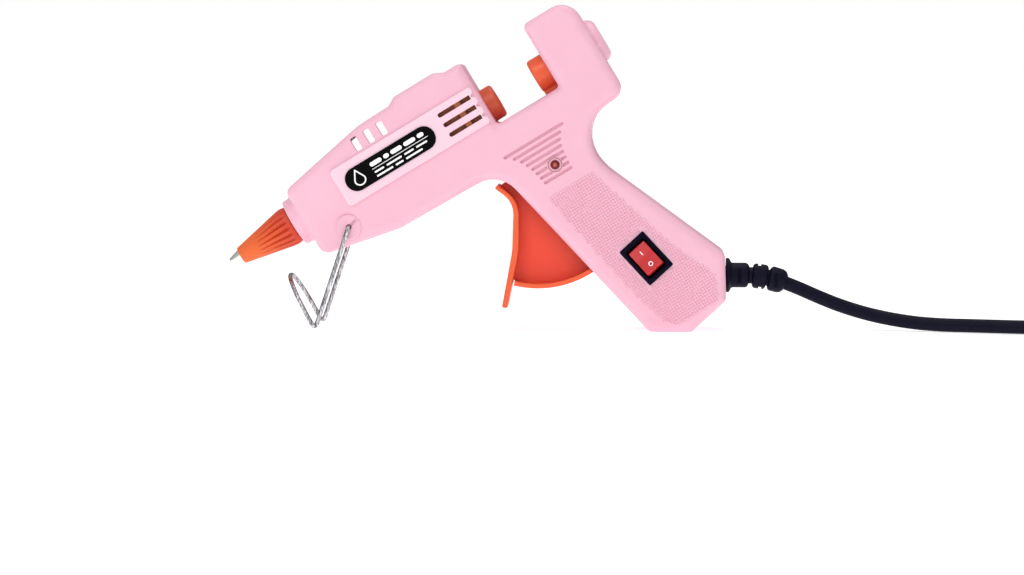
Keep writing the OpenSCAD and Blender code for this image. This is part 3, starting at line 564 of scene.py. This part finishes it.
blades = piece("plug_blades_plated", joined(blade(-1), blade(1)), TINNED, replaces=["plug_blades"],
               place=BENCH)


def tie():
    """Nylon tie round the hank: a thin band with its ratchet head on top."""
    x0, x1 = HANK_X - 12, HANK_X - 7
    w, h, t = INNER_R + ROW * 1.5, 3 * ROW + 0.6, 0.6
    band = loft([[Vector((x, p.x, p.y)) for p in ring(
        [(-w - t, 0, 1.8), (w + t, 0, 1.8), (w + t, h + t, 1.8), (-w - t, h + t, 1.8)], i, 6)]
        for x, i in ((x0, 0.15), (x0 + 0.15, 0), (x1 - 0.15, 0), (x1, 0.15))])
    hole = loft([[Vector((x, p.x, p.y)) for p in ring(
        [(-w, t, 1.3), (w, t, 1.3), (w, h, 1.3), (-w, h, 1.3)], 0, 6)] for x in (x0 - 1, x1 + 1)])
    return carved(band, hole)


tie_piece = piece("hank_tie", tie(), CABLE_TIE, replaces=["cord_tie"], place=BENCH)

# -------- housing
def tapered(bm):
    """Narrows the nose in plan, in one smooth sweep."""
    for x in range(4, 28, 2):
        bmesh.ops.bisect_plane(bm, geom=bm.verts[:] + bm.edges[:] + bm.faces[:], plane_co=(x, 0, 0), plane_no=(1, 0, 0))
    for v in bm.verts:
        t = min(1, max(0, (v.co.x - TAPER_FROM) / (TAPER_TO - TAPER_FROM)))
        v.co.y *= (NOSE_HALF_W + (HALF_W - NOSE_HALF_W) * t * t * (3 - 2 * t)) / HALF_W
    return bm


def half_form():
    """Outside of one half: the side outline with its side edge rounded, and a fine
    chamfer where the two halves meet."""
    arc = [(HALF_W - EDGE_R + EDGE_R * math.sin(a), EDGE_R * (1 - math.cos(a)))
           for a in [math.pi / 2 * k / 8 for k in range(9)]]
    return tapered(plate(SIDE_OUTLINE, [(0.02, 0.22), (0.22, 0), (6, 0)] + arc))


def half_hollow():
    return tapered(plate(SIDE_OUTLINE, [(-1, WALL), (HALF_W - WALL - 1, WALL), (HALF_W - WALL, WALL + 1)], 4))


def stadium(x0, x1, z, r, square_end=False):
    """Corners of a slot with round ends, or with its rear end square."""
    rear = 0.15 if square_end else r * 0.98
    return [(x0, z - r, r * 0.98), (x1, z - r, rear), (x1, z + r, rear), (x0, z + r, r * 0.98)]


def slot_cut(corners, y_in, y_out, flare=0.18):
    """A cutter for an opening in a side wall, widened at the surface for a soft edge."""
    return plate(corners, [(y_in, 0), (y_out - flare, 0), (y_out, -flare), (y_out + 2, -flare)], 6)


def grip_ribs():
    """Grooves of the thumb grip: eight, shorter one after the other."""
    cuts = []
    for k in range(8):
        mid, reach, z = 83.4 + 0.16 * k, 5 + 6.4 * math.exp(-0.42 * k), -17.65 - 1.99 * k
        cuts.append(slot_cut(stadium(mid - reach, mid + reach, z, 0.5), HALF_W - 0.8, HALF_W, 0.1))
    return joined(*cuts)


def knurl(skip_switch):
    """The handle's knurled patch: flat-topped studs between V grooves, square to the barrel."""
    left = [(78, -36), (79, -45), (81, -55), (83, -65), (86, -80), (89.5, -91), (92.5, -95)]
    right = [(94.5, -36), (97, -45), (101, -58), (104.5, -70), (109, -80), (112, -86.5), (108, -95)]

    def edge_at(line, z):
        for (xa, za), (xb, zb) in zip(line, line[1:]):
            if zb <= z <= za:
                return xa + (xb - xa) * (z - za) / (zb - za)
        return None

    bm = bmesh.new()
    bmesh.ops.create_grid(bm, x_segments=38, y_segments=63, size=1)
    bmesh.ops.transform(bm, matrix=Matrix.Translation((95, HALF_W - 0.4, -65.5)) @ Matrix.Rotation(-math.pi / 2, 4, "X")
                        @ Matrix.Diagonal((18, 30, 1, 1)), verts=bm.verts)
    away = []
    for f in bm.faces:
        c = f.calc_center_median()
        low, high = edge_at(left, c.z), edge_at(right, c.z)
        keep = low is not None and high is not None and low < c.x < high
        if keep and skip_switch:
            d = Vector((c.x, c.z)) - SWITCH_AT
            s, t = math.sin(SWITCH_TILT), math.cos(SWITCH_TILT)
            keep = abs(d.x * s - d.y * t) > 8.6 or abs(d.x * t + d.y * s) > 6.4
        if keep and (Vector((c.x, c.z)) - LAMP).length < 4:
            keep = False
        if not keep:
            away.append(f)
    bmesh.ops.delete(bm, geom=away, context="FACES")
    top = bmesh.ops.extrude_face_region(bm, geom=bm.faces[:], use_keep_orig=True)["geom"]
    bmesh.ops.translate(bm, vec=(0, 0.43, 0), verts=[v for v in top if isinstance(v, bmesh.types.BMVert)])
    tops = [f for f in top if isinstance(f, bmesh.types.BMFace)]
    bmesh.ops.inset_individual(bm, faces=tops, thickness=0.26, depth=0)
    bmesh.ops.translate(bm, vec=(0, 0.24, 0), verts=list({v for f in tops for v in f.verts}))
    bmesh.ops.recalc_face_normals(bm, faces=bm.faces)
    return bm


def eyelet():
    """Round boss that holds the stand's wire, with the slit that it is sprung in through."""
    boss = rod(STAND_AT, 4.2, HALF_W - 4, HALF_W, 0.35)
    boss = carved(boss, rod(STAND_AT, 0.95, HALF_W - 3, HALF_W + 1))
    slit = block((0, HALF_W - 0.6, -0.5), (6, HALF_W + 1, 0.5))
    bmesh.ops.transform(slit, matrix=Matrix.Translation((STAND_AT.x, 0, STAND_AT.y))
                        @ Matrix.Rotation(math.radians(-14), 4, "Y"), verts=slit.verts)
    return carved(boss, slit)


def half_shell():
    """Form, collar and stick entry of one half, hollowed, with what stands inside it."""
    bm = half_form()
    collar = spun([(0, 0.05), (7.7, 0.05), (8.0, 0.2), (8.15, 0.6), (8.15, 2.2), (8.4, 2.8),
                   (9.2, 3.3), (9.6, 5), (0, 5)])
    entry = spun([(0, HOOK_REAR - 1), (7.6, HOOK_REAR - 1), (7.6, HOOK_REAR + 0.5), (7.35, HOOK_REAR + 1.2),
                  (6.8, HOOK_REAR + 2), (6.0, HOOK_REAR + 2.6), (5.2, HOOK_REAR + 2.8), (0, HOOK_REAR + 2.8)])
    for part in (collar, entry):
        part = carved(part, block((-40, 0.02, -40), (160, 40, 40)), "INTERSECT")
        bm = carved(bm, part, "UNION")
    bm = carved(bm, half_hollow())
    inside = [rod(PIVOT, 3.3, 7.9, HALF_W - 1), rod(STAND_AT, 3, 8.6, HALF_W - 1.6)]
    inside += [rod(s, 3.1, 0.05, HALF_W - 1) for s in SCREWS[1:]] + [rod(SCREWS[0], 2.6, 0.05, 9)]
    for shape in inside:
        bm = carved(bm, shape, "UNION")
    for x in (12, 47):
        bm = carved(bm, block((x, 0.05, -8.5), (x + 1.5, 11.4 if x > 20 else 9.8, 9)), "UNION")
    bm = carved(bm, spun([(0, 105.7), (5.5, 105.7), (5.5, HOOK_REAR), (0, HOOK_REAR)]), "UNION")
    bm = carved(bm, joined(spun([(0, -1), (6.7, -1), (6.7, 6.5), (0, 6.5)]),
                           spun([(0, 10), (6.05, 10), (6.05, 50), (0, 50)]),
                           spun([(0, 71.75), (5.9, 71.75), (5.9, 76.75), (0, 76.75)]),
                           spun([(0, 98.7), (6.2, 98.7), (6.2, 105.7), (4, 105.71), (4, 121), (4.5, 121.25),
                                 (4.5, 124), (0, 124)])))
    mouth = slab([(64, -23.5, 0.1), (64, -66.8, 0.1), (86, -66.8, 0.1), (74, -23.5, 0.1)], -1, 7.85)
    bm = carved(bm, block((84.1, -1, -10.9), (104, 2.35, -2.9)))
    bm = carved(bm, mouth)
    windows = [slot_cut([(x, WINDOW_Z, 0.4), (x + 2.2, WINDOW_Z, 0.4), (x + 2.2, WINDOW_Z + 4.8, 0.4),
                         (x, WINDOW_Z + 4.8, 0.4)], 0.5, HALF_W, 0.2) for x in (31.6, 36.55, 41.5)]
    bm = carved(bm, joined(*windows))
    bm = carved(bm, grip_ribs())
    bm = carved(bm, rod(PIVOT, 1.5, 0, HALF_W - 1))
    outlet = bmesh.new()
    bmesh.ops.create_cone(outlet, cap_ends=True, segments=48, radius1=3.2, radius2=3.2, depth=14)
    bmesh.ops.transform(outlet, matrix=Matrix.Translation(RELIEF_ROOT)
                        @ Matrix.Rotation(math.atan2(ALONG.z, ALONG.x) + math.pi / 2, 4, "Y"), verts=outlet.verts)
    bm = carved(bm, outlet)
    return carved(bm, rod(STAND_AT, 0.85, HALF_W - 5, HALF_W + 1))


right_bm = half_shell()
left_bm = right_bm.copy()

# right shell: screw wells, plain vents and one long window
wells = joined(*[rod(s, 2.9, 7, 20) for s in SCREWS])
right_bm = carved(right_bm, wells)
vents = [slot_cut(stadium(60.6, 72.9, z, 0.75), 9, HALF_W, 0.18) for z in VENT_Z]
right_bm = carved(right_bm, joined(*vents))
right_bm = carved(right_bm, slot_cut([(29.4, WINDOW_Z, 0.4), (43.7, WINDOW_Z, 0.4), (43.7, 15.4, 0.4),
                                      (29.4, 15.4, 0.4)], 0.5, HALF_W, 0.2))
right_bm = joined(right_bm, eyelet(), knurl(False))
piece("right_shell_moulding", right_bm, PINK, replaces=["right_shell"], sharp=30)

# left shell, drawn on the right and flipped
PANEL_TOP = HALF_W + 0.8
panel_corners = [(20, -5.1, 1.5), (74.6, -5.1, 1.1)]
for z in reversed(VENT_Z):
    panel_corners += [(74.6, z - 1.05, 0.7), (73.15, z, 0.25), (74.6, z + 1.05, 0.7)]
panel_corners += [(74.6, 8.6, 1.1), (20, 8.6, 1.5)]
panel = plate(panel_corners, [(HALF_W - 1.4, 0), (HALF_W + 0.45, 0), (HALF_W + 0.64, 0.07), (HALF_W + 0.75, 0.2),
                              (PANEL_TOP, 0.38)])
panel_vents = [slot_cut(stadium(60.6, 72.9, z, 0.75, True), 9, PANEL_TOP, 0.14) for z in VENT_Z]
panel = carved(panel, joined(*panel_vents))
piece("raised_panel", flipped(panel), PANEL_PINK, sharp=30)

left_vents = [slot_cut(stadium(60.6, 72.9, z, 0.76, True), 9, HALF_W + 1, 0.05) for z in VENT_Z]
left_bm = carved(left_bm, joined(*left_vents))
left_bm = carved(left_bm, rod(LAMP, 1.55, 8, 16))
switch_hole = block((-6.5, -12, -4.5), (6.5, 3, 4.5))
SWITCH = Matrix.Translation((SWITCH_AT.x, HALF_W, SWITCH_AT.y)) @ Matrix.Rotation(math.pi / 2 - SWITCH_TILT, 4, "Y")
bmesh.ops.transform(switch_hole, matrix=SWITCH, verts=switch_hole.verts)
left_bm = carved(left_bm, switch_hole)
lamp_ring = facing_side(spun([(1.52, -0.8), (1.52, 0.12), (1.75, 0.2), (2.1, 0.2), (2.2, 0.02), (2.35, -0.05),
                              (2.45, 0.12), (2.6, 0.12), (2.7, 0), (2.7, -0.8)], 64), (LAMP.x, HALF_W, LAMP.y))
left_bm = joined(left_bm, eyelet(), knurl(True), lamp_ring)
piece("left_shell_moulding", flipped(left_bm), PINK, replaces=["left_shell"], sharp=30)
# A brown sheet and bar behind the left vents: painted shade for the dark inside of the barrel
shade_sheet = carved(block((59.6, 9.9, -4.2), (73.8, 10.7, 7.8), 0.25),
               block((66.9, 10.5, -4), (69.1, HALF_W - 0.5, 7.6), 0.2), "UNION")
piece("vent_shade_sheet", flipped(shade_sheet), VENT_SHADE_BROWN)


def screw(at):
    """Pan-head screw with a cross recess."""
    shank = rod(at, 1.4, -9, 7.2, 0.3)
    head = facing_side(spun([(0, 0), (2.7, 0), (2.7, 0.9), (2.45, 1.5), (1.9, 1.85), (1.1, 2), (0, 2)], 48),
                       (at[0], 7, at[1]))
    for turn in (0, math.pi / 2):
        arm = block((-1.5, 0.8, -0.35), (1.5, 3, 0.35))
        bmesh.ops.transform(arm, matrix=Matrix.Translation((at[0], 7, at[1])) @ Matrix.Rotation(turn + 0.4, 4, "Y"),
                            verts=arm.verts)
        head = carved(head, arm)
    return joined(shank, head)


piece("housing_screws_steel", joined(*[screw(s) for s in SCREWS]), SCREW_STEEL, replaces=["housing_screws"])


# -------- label and lamp
LABEL_TOP = HALF_W + 1.2
INK_T = 0.05


def mark(corners):
    """One patch of ink on the label."""
    return plate(corners, [(LABEL_TOP - 0.02, 0), (LABEL_TOP + INK_T, 0)], 6)


def drop_mark():
    """A glue drop in outline."""
    x, z = 27.8, 1.5
    corners = [(x, z - 3.2, 2.1), (x + 2.5, z - 1, 1.7), (x, z + 3.5, 0.2), (x - 2.5, z - 1, 1.7)]
    return carved(mark(corners), plate(corners, [(LABEL_TOP - 1, 0.45), (LABEL_TOP + 1, 0.45)], 6))


label = plate(stadium(23, 56.8, 1.7, 4), [(HALF_W + 0.7, 0), (HALF_W + 1.06, 0), (HALF_W + 1.15, 0.05),
                                         (LABEL_TOP, 0.14)], 12)
piece("label_film", flipped(label), LABEL_BLACK, replaces=["label_plate"])
dashes = [(33, 37.4, 3.3, 0.72), (38.2, 40.2, 3.3, 0.72), (41, 45.2, 3.3, 0.72), (46, 50.4, 3.3, 0.72),
          (51.2, 53.6, 3.3, 0.72), (33, 54.4, 1.75, 0.1), (33.2, 36.8, 0.5, 0.3), (37.8, 43.6, 0.5, 0.3),
          (44.6, 48.2, 0.5, 0.3), (49.2, 53.4, 0.5, 0.3), (33.2, 39.4, -1, 0.3), (40.4, 43.4, -1, 0.3),
          (44.4, 50.8, -1, 0.3)]
marks = [mark(stadium(x0, x1, z, r)) for x0, x1, z, r in dashes] + [drop_mark()]
piece("label_marks", flipped(joined(*marks)), INK)
lens = facing_side(spun([(0, -4), (1.9, -4), (1.9, -3.2), (1.5, -3.2), (1.5, 0.2), (1.42, 0.75), (1.15, 1.25),
                         (0.7, 1.58), (0, 1.7)], 64), (LAMP.x, HALF_W, LAMP.y))
piece("lamp_lens_epoxy", flipped(lens), LENS_RED, replaces=["lamp_lens"])
# Thin red-brown ring in the lamp's groove: painted shadow line
groove_shade = facing_side(spun([(2.2, -0.1), (2.2, 0.1), (2.28, 0.16), (2.4, 0.16), (2.48, 0.1), (2.48, -0.1)], 64),
                      (LAMP.x, HALF_W, LAMP.y))
piece("lamp_groove_shade_ring", flipped(groove_shade), LAMP_GROOVE_SHADE)


# -------- switch
def at_switch(bm):
    """Places a shape drawn in the switch's frame: X along it, Y out of the wall."""
    bmesh.ops.transform(bm, matrix=SWITCH, verts=bm.verts)
    return flipped(bm)


BEZEL_L, BEZEL_W, BEZEL_T = 15, 10.5, 1.2


def rectangle(length, width, r):
    return [(-length / 2, -width / 2, r), (length / 2, -width / 2, r), (length / 2, width / 2, r),
            (-length / 2, width / 2, r)]


bezel = plate(rectangle(BEZEL_L, BEZEL_W, 0.5), [(-0.05, 0), (0.55, 0), (0.95, 0.28), (BEZEL_T, 0.75)], 5)
bezel = carved(bezel, plate(rectangle(11.2, 7.4, 0.5), [(-1, 0), (0.6, 0), (1.3, -0.45)], 5))
well = carved(block((-6.4, -11, -4.35), (6.4, 0, 4.35), 0.3), block((-5.6, -5.6, -3.7), (5.6, 4, 3.7)))
piece("switch_bezel", at_switch(joined(bezel, well)), BLACK, replaces=["switch_body"])
ROCK = Matrix.Translation((0, 0.2, 0)) @ Matrix.Rotation(math.radians(8), 4, "Z")
rocker_side = [(-4.3, -2.9, 0.4), (4.3, -2.9, 0.4), (5.1, 0, 2.5), (4.62, 2.4, 0.4), (0, 1.7, 8), (-4.62, 2.4, 0.4),
               (-5.1, 0, 2.5)]
rocker = loft([[Vector((p.x, p.y, z)) for p in ring(rocker_side, inset)] for z, inset in
               ((-3.35, 0.3), (-3.26, 0.1), (-3.05, 0), (3.05, 0), (3.26, 0.1), (3.35, 0.3))])
bmesh.ops.transform(rocker, matrix=ROCK, verts=rocker.verts)
piece("rocker_moulding", at_switch(rocker), ROCKER_RED, body="rocker", replaces=["switch_rocker"])


def on_rocker(bm, x):
    """Lays a mark on one of the rocker's two faces."""
    slope = math.atan2(0.7, 4.62) * math.copysign(1, x)
    bmesh.ops.transform(bm, matrix=ROCK @ Matrix.Translation((x, 1.7 + abs(x) * 0.1515 + 0.02, 0))
                        @ Matrix.Rotation(slope, 4, "Z"), verts=bm.verts)
    return bm


off_mark = on_rocker(facing_side(spun([(0.52, -0.05), (0.52, 0.05), (0.8, 0.05), (0.8, -0.05)], 40), (0, 0, 0)), 2.5)
on_mark = on_rocker(block((-0.75, -0.05, -0.14), (0.75, 0.05, 0.14)), -2.1)
piece("rocker_marks", at_switch(joined(off_mark, on_mark)), INK, body="rocker")

# -------- nozzle and melt line
NOZZLE_LEN = 25


def nozzle_r(x):
    """Radius of the nozzle's metal at a place along the barrel."""
    return 2.3 + (x + NOZZLE_LEN - 4) * 0.105


tip = spun([(0.8, -24.9), (0.9, -25), (1.1, -25), (1.2, -24.85), (1.74, -22.9), (2.2, -21.3), (2.3, -21),
            (nozzle_r(-4), -4), (5, -4), (5, 1), (4, 1), (4, 7.8), (2.5, 7.8), (2.5, -17), (0.8, -20)])
piece("nozzle_turned", tip, NICKEL, replaces=["nozzle_tip"])


def fluted_sleeve():
    """Silicone cone over the nozzle, with long flutes that widen towards the housing."""
    flutes, x0 = 18, -NOZZLE_LEN + 4
    outer = [(-21, 2.75), (-20.9, 2.9)] + [(x0 + 18 * t / 24, 2.9 + 3.7 * t / 24) for t in range(1, 24)]
    outer += [(-3, 6.55), (-2.6, 6.62), (-2, 6.62), (-1.4, 6.6), (-0.9, 6.5), (-0.4, 6.35), (-0.1, 6.2), (0, 6.05)]
    inner = [(0, 5.05), (-4.05, 5.05), (-4.05, nozzle_r(-4) + 0.05), (-21, 2.35)]
    bm = spun([(r, x) for x, r in outer + inner], 18 * 12)
    for v in bm.verts:
        r = math.hypot(v.co.y, v.co.z)
        x = v.co.x
        along = min(1, max(0, (x + 14.5) / 8)) * min(1, max(0, (-1.2 - x) / 1.2))
        if along > 0 and r > nozzle_r(x) + 0.4:
            phase = (math.atan2(v.co.z, v.co.y) / math.tau * flutes + 0.25) % 1
            dip = max(0, 1 - abs(phase - 0.5) / (0.12 + 0.12 * along))
            depth = 0.85 * along ** 0.6 * dip ** 0.7
            v.co.y *= (r - depth) / r
            v.co.z *= (r - depth) / r
    return bm


piece("nozzle_sleeve_silicone", fluted_sleeve(), SILICONE, replaces=["nozzle_sleeve"], sharp=50)


def ring_profile(x0, x1, outer, inner, soft):
    """A ring's section with its outside edges rounded."""
    arc = [(soft * (1 - math.cos(a)), soft * (1 - math.sin(a))) for a in (0, 0.4, 0.8, 1.2, math.pi / 2)]
    return ([(inner + 0.3, x0), (outer - soft, x0)] + [(outer - d, x0 + e) for e, d in arc[1:-1]]
            + [(outer, x0 + soft), (outer, x1 - soft)] + [(outer - d, x1 - e) for e, d in reversed(arc[1:-1])]
            + [(outer - soft, x1), (inner + 0.3, x1), (inner, x1 - 0.3), (inner, x0 + 0.3)])


inlet = spun([(4.9, 50.05), (RING_R, 50.05), (RING_R, 79.05), (RING_R - 0.1, 79.5), (RING_R - 0.35, 79.85),
              (RING_R - 0.75, 80.05), (4.4, 80.05), (4.05, 79.7), (PASSAGE_R, 79.2), (PASSAGE_R, 56.05), (4.9, 56.05)])
piece("inlet_sleeve_moulding", inlet, INLET_RED, replaces=["inlet_sleeve"])


# -------- feed carriage
def carriage_block():
    """Ring that the stick passes, its neck, the sled under the saddle and the two ears."""
    bm = spun(ring_profile(94, 104, RING_R, PASSAGE_R, 1.1))
    sled_z = FEED_PIN.y - 2.3
    top = SADDLE_Z - WALL - 0.35
    neck = block((94.4, -2, sled_z + 1), (103.6, 2, -4.6), 0.25)
    bm = carved(bm, carved(neck, spun([(0, 90), (PASSAGE_R, 90), (PASSAGE_R, 110), (0, 110)])), "UNION")
    bm = carved(bm, block((FEED_PIN.x + 6, -6.5, sled_z), (103.6, 6.5, top - 0.2), 0.25), "UNION")
    for y0, y1 in ((1.9, 3.9), (-3.9, -1.9)):
        ear = block((FEED_PIN.x - 2.4, y0, sled_z), (94, y1, top), 0.25)
        bm = carved(bm, carved(ear, rod(FEED_PIN, 1.0, -8, 8)), "UNION")
    return bm


piece("carriage_moulding", carriage_block(), ORANGE, body="carriage", replaces=["carriage"])

# -------- trigger
RIM_HALF_W, RIM_T, RIB_R, WEB_HALF = 7.5, 1.6, 33.6, 1.25


def arc_corners(radius, a0, a1, count):
    """Corners along an arc about the trigger's pivot."""
    return [(PIVOT.x + radius * math.cos(math.radians(a0 + (a1 - a0) * k / count)),
             PIVOT.y + radius * math.sin(math.radians(a0 + (a1 - a0) * k / count)), 0) for k in range(count + 1)]


rim_corners = [(63.9, -24.6, 0.4), (66.9, -31.8, 8), (58, -45.5, 30), (45.4, -59.7, 0.6), (46.8, -60.9, 0.6),
               (60.2, -46.2, 28), (68.7, -32.3, 9.6), (65.4, -24, 0.4)]
rim = slab(rim_corners, -RIM_HALF_W, RIM_HALF_W, 0.5)
rib = slab(arc_corners(RIB_R, 225, 272, 14) + arc_corners(RIB_R - RIM_T, 272, 225, 14),
           -RIM_HALF_W, RIM_HALF_W, 0.45, 2)
piece("trigger_rim", joined(rim, rib), ORANGE, body="trigger", replaces=["trigger"], sharp=45)
web = slab([(65.3, -24.8, 0), (67.2, -30, 0), (67, -33.5, 0), (59.8, -45.8, 0), (53, -53.5, 0)]
           + arc_corners(RIB_R - 0.5, 228, 272, 10) + [(79.5, -34, 0), (77, -28, 0), (71, -24.4, 0)],
           -WEB_HALF, WEB_HALF, 0, 1)
boss = rod(PIVOT, 3.9, -5.7, 5.7, 0.3)
arm = block((-2.6, -1.5, 0), (2.6, 1.5, math.hypot(5, 19) + 2.3), 0.3)
slot = plate([(-1.08, 19 - 1.08, 1), (1.08, 19 - 1.08, 1), (1.08, 19.65 + 1.08, 1), (-1.08, 19.65 + 1.08, 1)],
             [(-4, 0), (4, 0)])
arm = carved(arm, slot)
bmesh.ops.transform(arm, matrix=Matrix.Translation((PIVOT.x, 0, PIVOT.y)) @ Matrix.Rotation(math.atan2(5, 19), 4, "Y"),
                    verts=arm.verts)
core = carved(carved(carved(web, boss, "UNION"), arm, "UNION"), rod(PIVOT, 1.56, -10, 10))
# The web takes the redder copy of the nylon: painted shade against the lighter rim
piece("trigger_web", core, WEB_SHADE_RED, body="trigger")

# -------- wire stand
LEAN, STAND_HALF_W, WIRE_R, LOOP_LEN, LOOP_R = math.radians(18.3), 14.6, 0.75, 19.6, 14
stand_joint = next(j for j in frame["joints"] if j["name"] == "stand_fold")
hinge = Vector(stand_joint["pos_m"]) / MM
down = Vector((-math.sin(LEAN), 0, -math.cos(LEAN)))
rise = Vector((-0.48, 0, 0.8773))
foot = hinge + down * (hinge.z - WIRE_R) / math.cos(LEAN)


def bend(corner, before, after, radius):
    """Points of a bend at a corner between two directions."""
    turn = before.angle(after)
    reach = radius * math.tan(turn / 2)
    start, end = corner - before * reach, corner + after * reach
    return [(1 - t) ** 2 * start + 2 * t * (1 - t) * corner + t * t * end for t in [k / 6 for k in range(7)]]


across = Vector((0, 1, 0))
side = across * STAND_HALF_W
half_wire = [hinge + across * 9.8] + bend(hinge + side, across, down, 1.4)
half_wire += bend(foot + side, down, rise, 1.1)
half_wire += [foot + rise * (LOOP_LEN - LOOP_R + LOOP_R * math.sin(a))
              + across * (STAND_HALF_W - LOOP_R + LOOP_R * math.cos(a))
              for a in [math.pi / 2 * k / 10 for k in range(11)]]
other_wire = [Vector((p.x, -p.y, p.z)) for p in reversed(half_wire)]
piece("stand_wire", wire_mesh(half_wire + other_wire, WIRE_R, 5), WIRE_STEEL, body="stand", replaces=["wire_stand"],
      place=BENCH, sharp=60)

# -------- strain relief
RELIEF_AT = GUN @ Vector(RELIEF_ROOT) / MM
RELIEF_LEN, RELIEF_BOW, RELIEF_R, NECK_R = 20.3, 0.0125, 4.15, 2.75


def relief():
    """Sleeve moulded on the cord: a flange behind the wall and one outside it, then three
    soft blocks joined by short necks, each block cut by two cross slots."""
    path = [(-3.2, RELIEF_R + 0.8), (-2.7, RELIEF_R + 0.8), (-2.5, RELIEF_R - 1.1), (0.3, RELIEF_R - 1.1),
            (0.34, RELIEF_R + 1.4), (0.5, RELIEF_R + 1.6), (1.2, RELIEF_R + 1.6), (1.5, RELIEF_R + 1.3),
            (2.1, RELIEF_R + 0.2), (2.6, RELIEF_R), (6.8, RELIEF_R), (7.5, RELIEF_R - 0.3), (7.9, RELIEF_R - 0.9),
            (8.05, NECK_R), (9.05, NECK_R),
            (9.2, RELIEF_R - 0.9), (9.6, RELIEF_R - 0.2), (10.2, RELIEF_R), (13.1, RELIEF_R), (13.7, RELIEF_R - 0.3),
            (14, RELIEF_R - 0.9), (14.1, NECK_R), (14.5, NECK_R), (14.6, RELIEF_R - 0.9), (15.1, RELIEF_R - 0.2),
            (15.6, RELIEF_R), (18.4, RELIEF_R - 0.1), (19.4, RELIEF_R - 0.5), (19.9, RELIEF_R - 1.1),
            (RELIEF_LEN, CORD_R + 0.1)]
    turns = [math.tau * k / 48 for k in range(48)]
    layers = []
    for s, r in path:
        drop = RELIEF_BOW * max(0, s - 6) ** 2
        slope = -2 * RELIEF_BOW * max(0, s - 6)
        along = Vector((1, 0, slope)).normalized()
        up = Vector((-along.z, 0, along.x))
        centre = RELIEF_AT + Vector((s, 0, -drop))
        layers.append([centre + r * (math.cos(a) * across + math.sin(a) * up) for a in turns])
    bm = loft(layers)
    for s, turn in ((4.8, 0), (11.6, 90), (16.9, 0)):
        drop = RELIEF_BOW * max(0, s - 6) ** 2
        for far in (-1, 1):
            gap = block((s - 0.55, far * 5 - 2, -2.4), (s + 0.55, far * 5 + 2, 2.4), 0.2)
            bmesh.ops.transform(gap, matrix=Matrix.Translation(RELIEF_AT - Vector((0, 0, drop)))
                                @ Matrix.Rotation(math.radians(turn), 4, "X"), verts=gap.verts)
            bm = carved(bm, gap)
    return bm


piece("strain_relief_moulding", relief(), PVC, replaces=["strain_relief"], place=BENCH)

# -------- finishes of the CAD nodes that stay
KEPT = {"melt_chamber": CAST, "ptc_heater": CERAMIC, "heater_clip": SCREW_STEEL, "grip_tooth": SPRING_STEEL,
        "carriage_pin": SPRING_STEEL, "trigger_pin": SPRING_STEEL, "return_spring": SPRING_STEEL,
        "switch_terminals": TINNED, "lamp_board": BOARD, "heater_wires": WHITE_WIRE, "lamp_wires": RED_WIRE,
        "cord_inner": PVC, "cord_clamp": PINK, "clamp_screws": SCREW_STEEL}
for node, material in KEPT.items():
    for kept_slot in frame["nodes"][node].material_slots:
        kept_slot.material = material

# -------- floor and light
floor_mesh = bpy.data.meshes.new("floor")
floor_bm = bmesh.new()
bmesh.ops.create_grid(floor_bm, x_segments=2, y_segments=2, size=8)
floor_bm.to_mesh(floor_mesh)
floor_bm.free()
floor = bpy.data.objects.new("floor", floor_mesh)
bpy.context.scene.collection.objects.link(floor)
floor_mat, floor_tree, floor_shader, floor_where = finish("white_laminate", Roughness=0.3, Specular_IOR_Level=0.3,
                                                         Emission_Color=(1, 1, 1, 1), Emission_Strength=0.55)
floor_tree.links.new(mottle(floor_tree, floor_where, 300, "#FDFDFD", "#FFFFFF"), floor_shader.inputs["Base Color"])
floor_mesh.materials.append(floor_mat)


def softbox(name, where, size, power):
    """A soft area light that faces the gun."""
    light = bpy.data.lights.new(name, "AREA")
    light.shape, light.size, light.energy = "DISK", size, power
    made = bpy.data.objects.new(name, light)
    made.location = where
    made.rotation_mode = "QUATERNION"
    made.rotation_quaternion = (Vector((0, 0, 0.06)) - Vector(where)).to_track_quat("-Z", "Y")
    bpy.context.scene.collection.objects.link(made)


softbox("key", (-0.35, -0.75, 0.8), 0.45, 2.6)
softbox("top", (0.1, 0.15, 0.9), 0.5, 1.9)
world = bpy.data.worlds.new("studio")
bpy.context.scene.world = world
world.use_nodes = True
studio = world.node_tree
# White to look at; as a light it is brighter from above and in front than from behind
ray = add(studio, "ShaderNodeLightPath")
facing = add(studio, "ShaderNodeVectorMath", {0: add(studio, "ShaderNodeTexCoord").outputs["Generated"],
                                              1: (0, -0.55, 0.83)}, operation="DOT_PRODUCT")
fall = add(studio, "ShaderNodeMapRange", {"Value": facing.outputs["Value"], "From Min": -0.8, "From Max": 0.9,
                                          "To Min": 0.05, "To Max": 0.78})
level = add(studio, "ShaderNodeMapRange", {"Value": ray.outputs["Is Camera Ray"], "To Min": fall.outputs["Result"],
                                           "To Max": 1.0})
studio.links.new(level.outputs["Result"], studio.nodes["Background"].inputs["Strength"])
studio.nodes["Background"].inputs["Color"].default_value = (1, 1, 1, 1)
bpy.context.scene.view_settings.view_transform = "Standard"
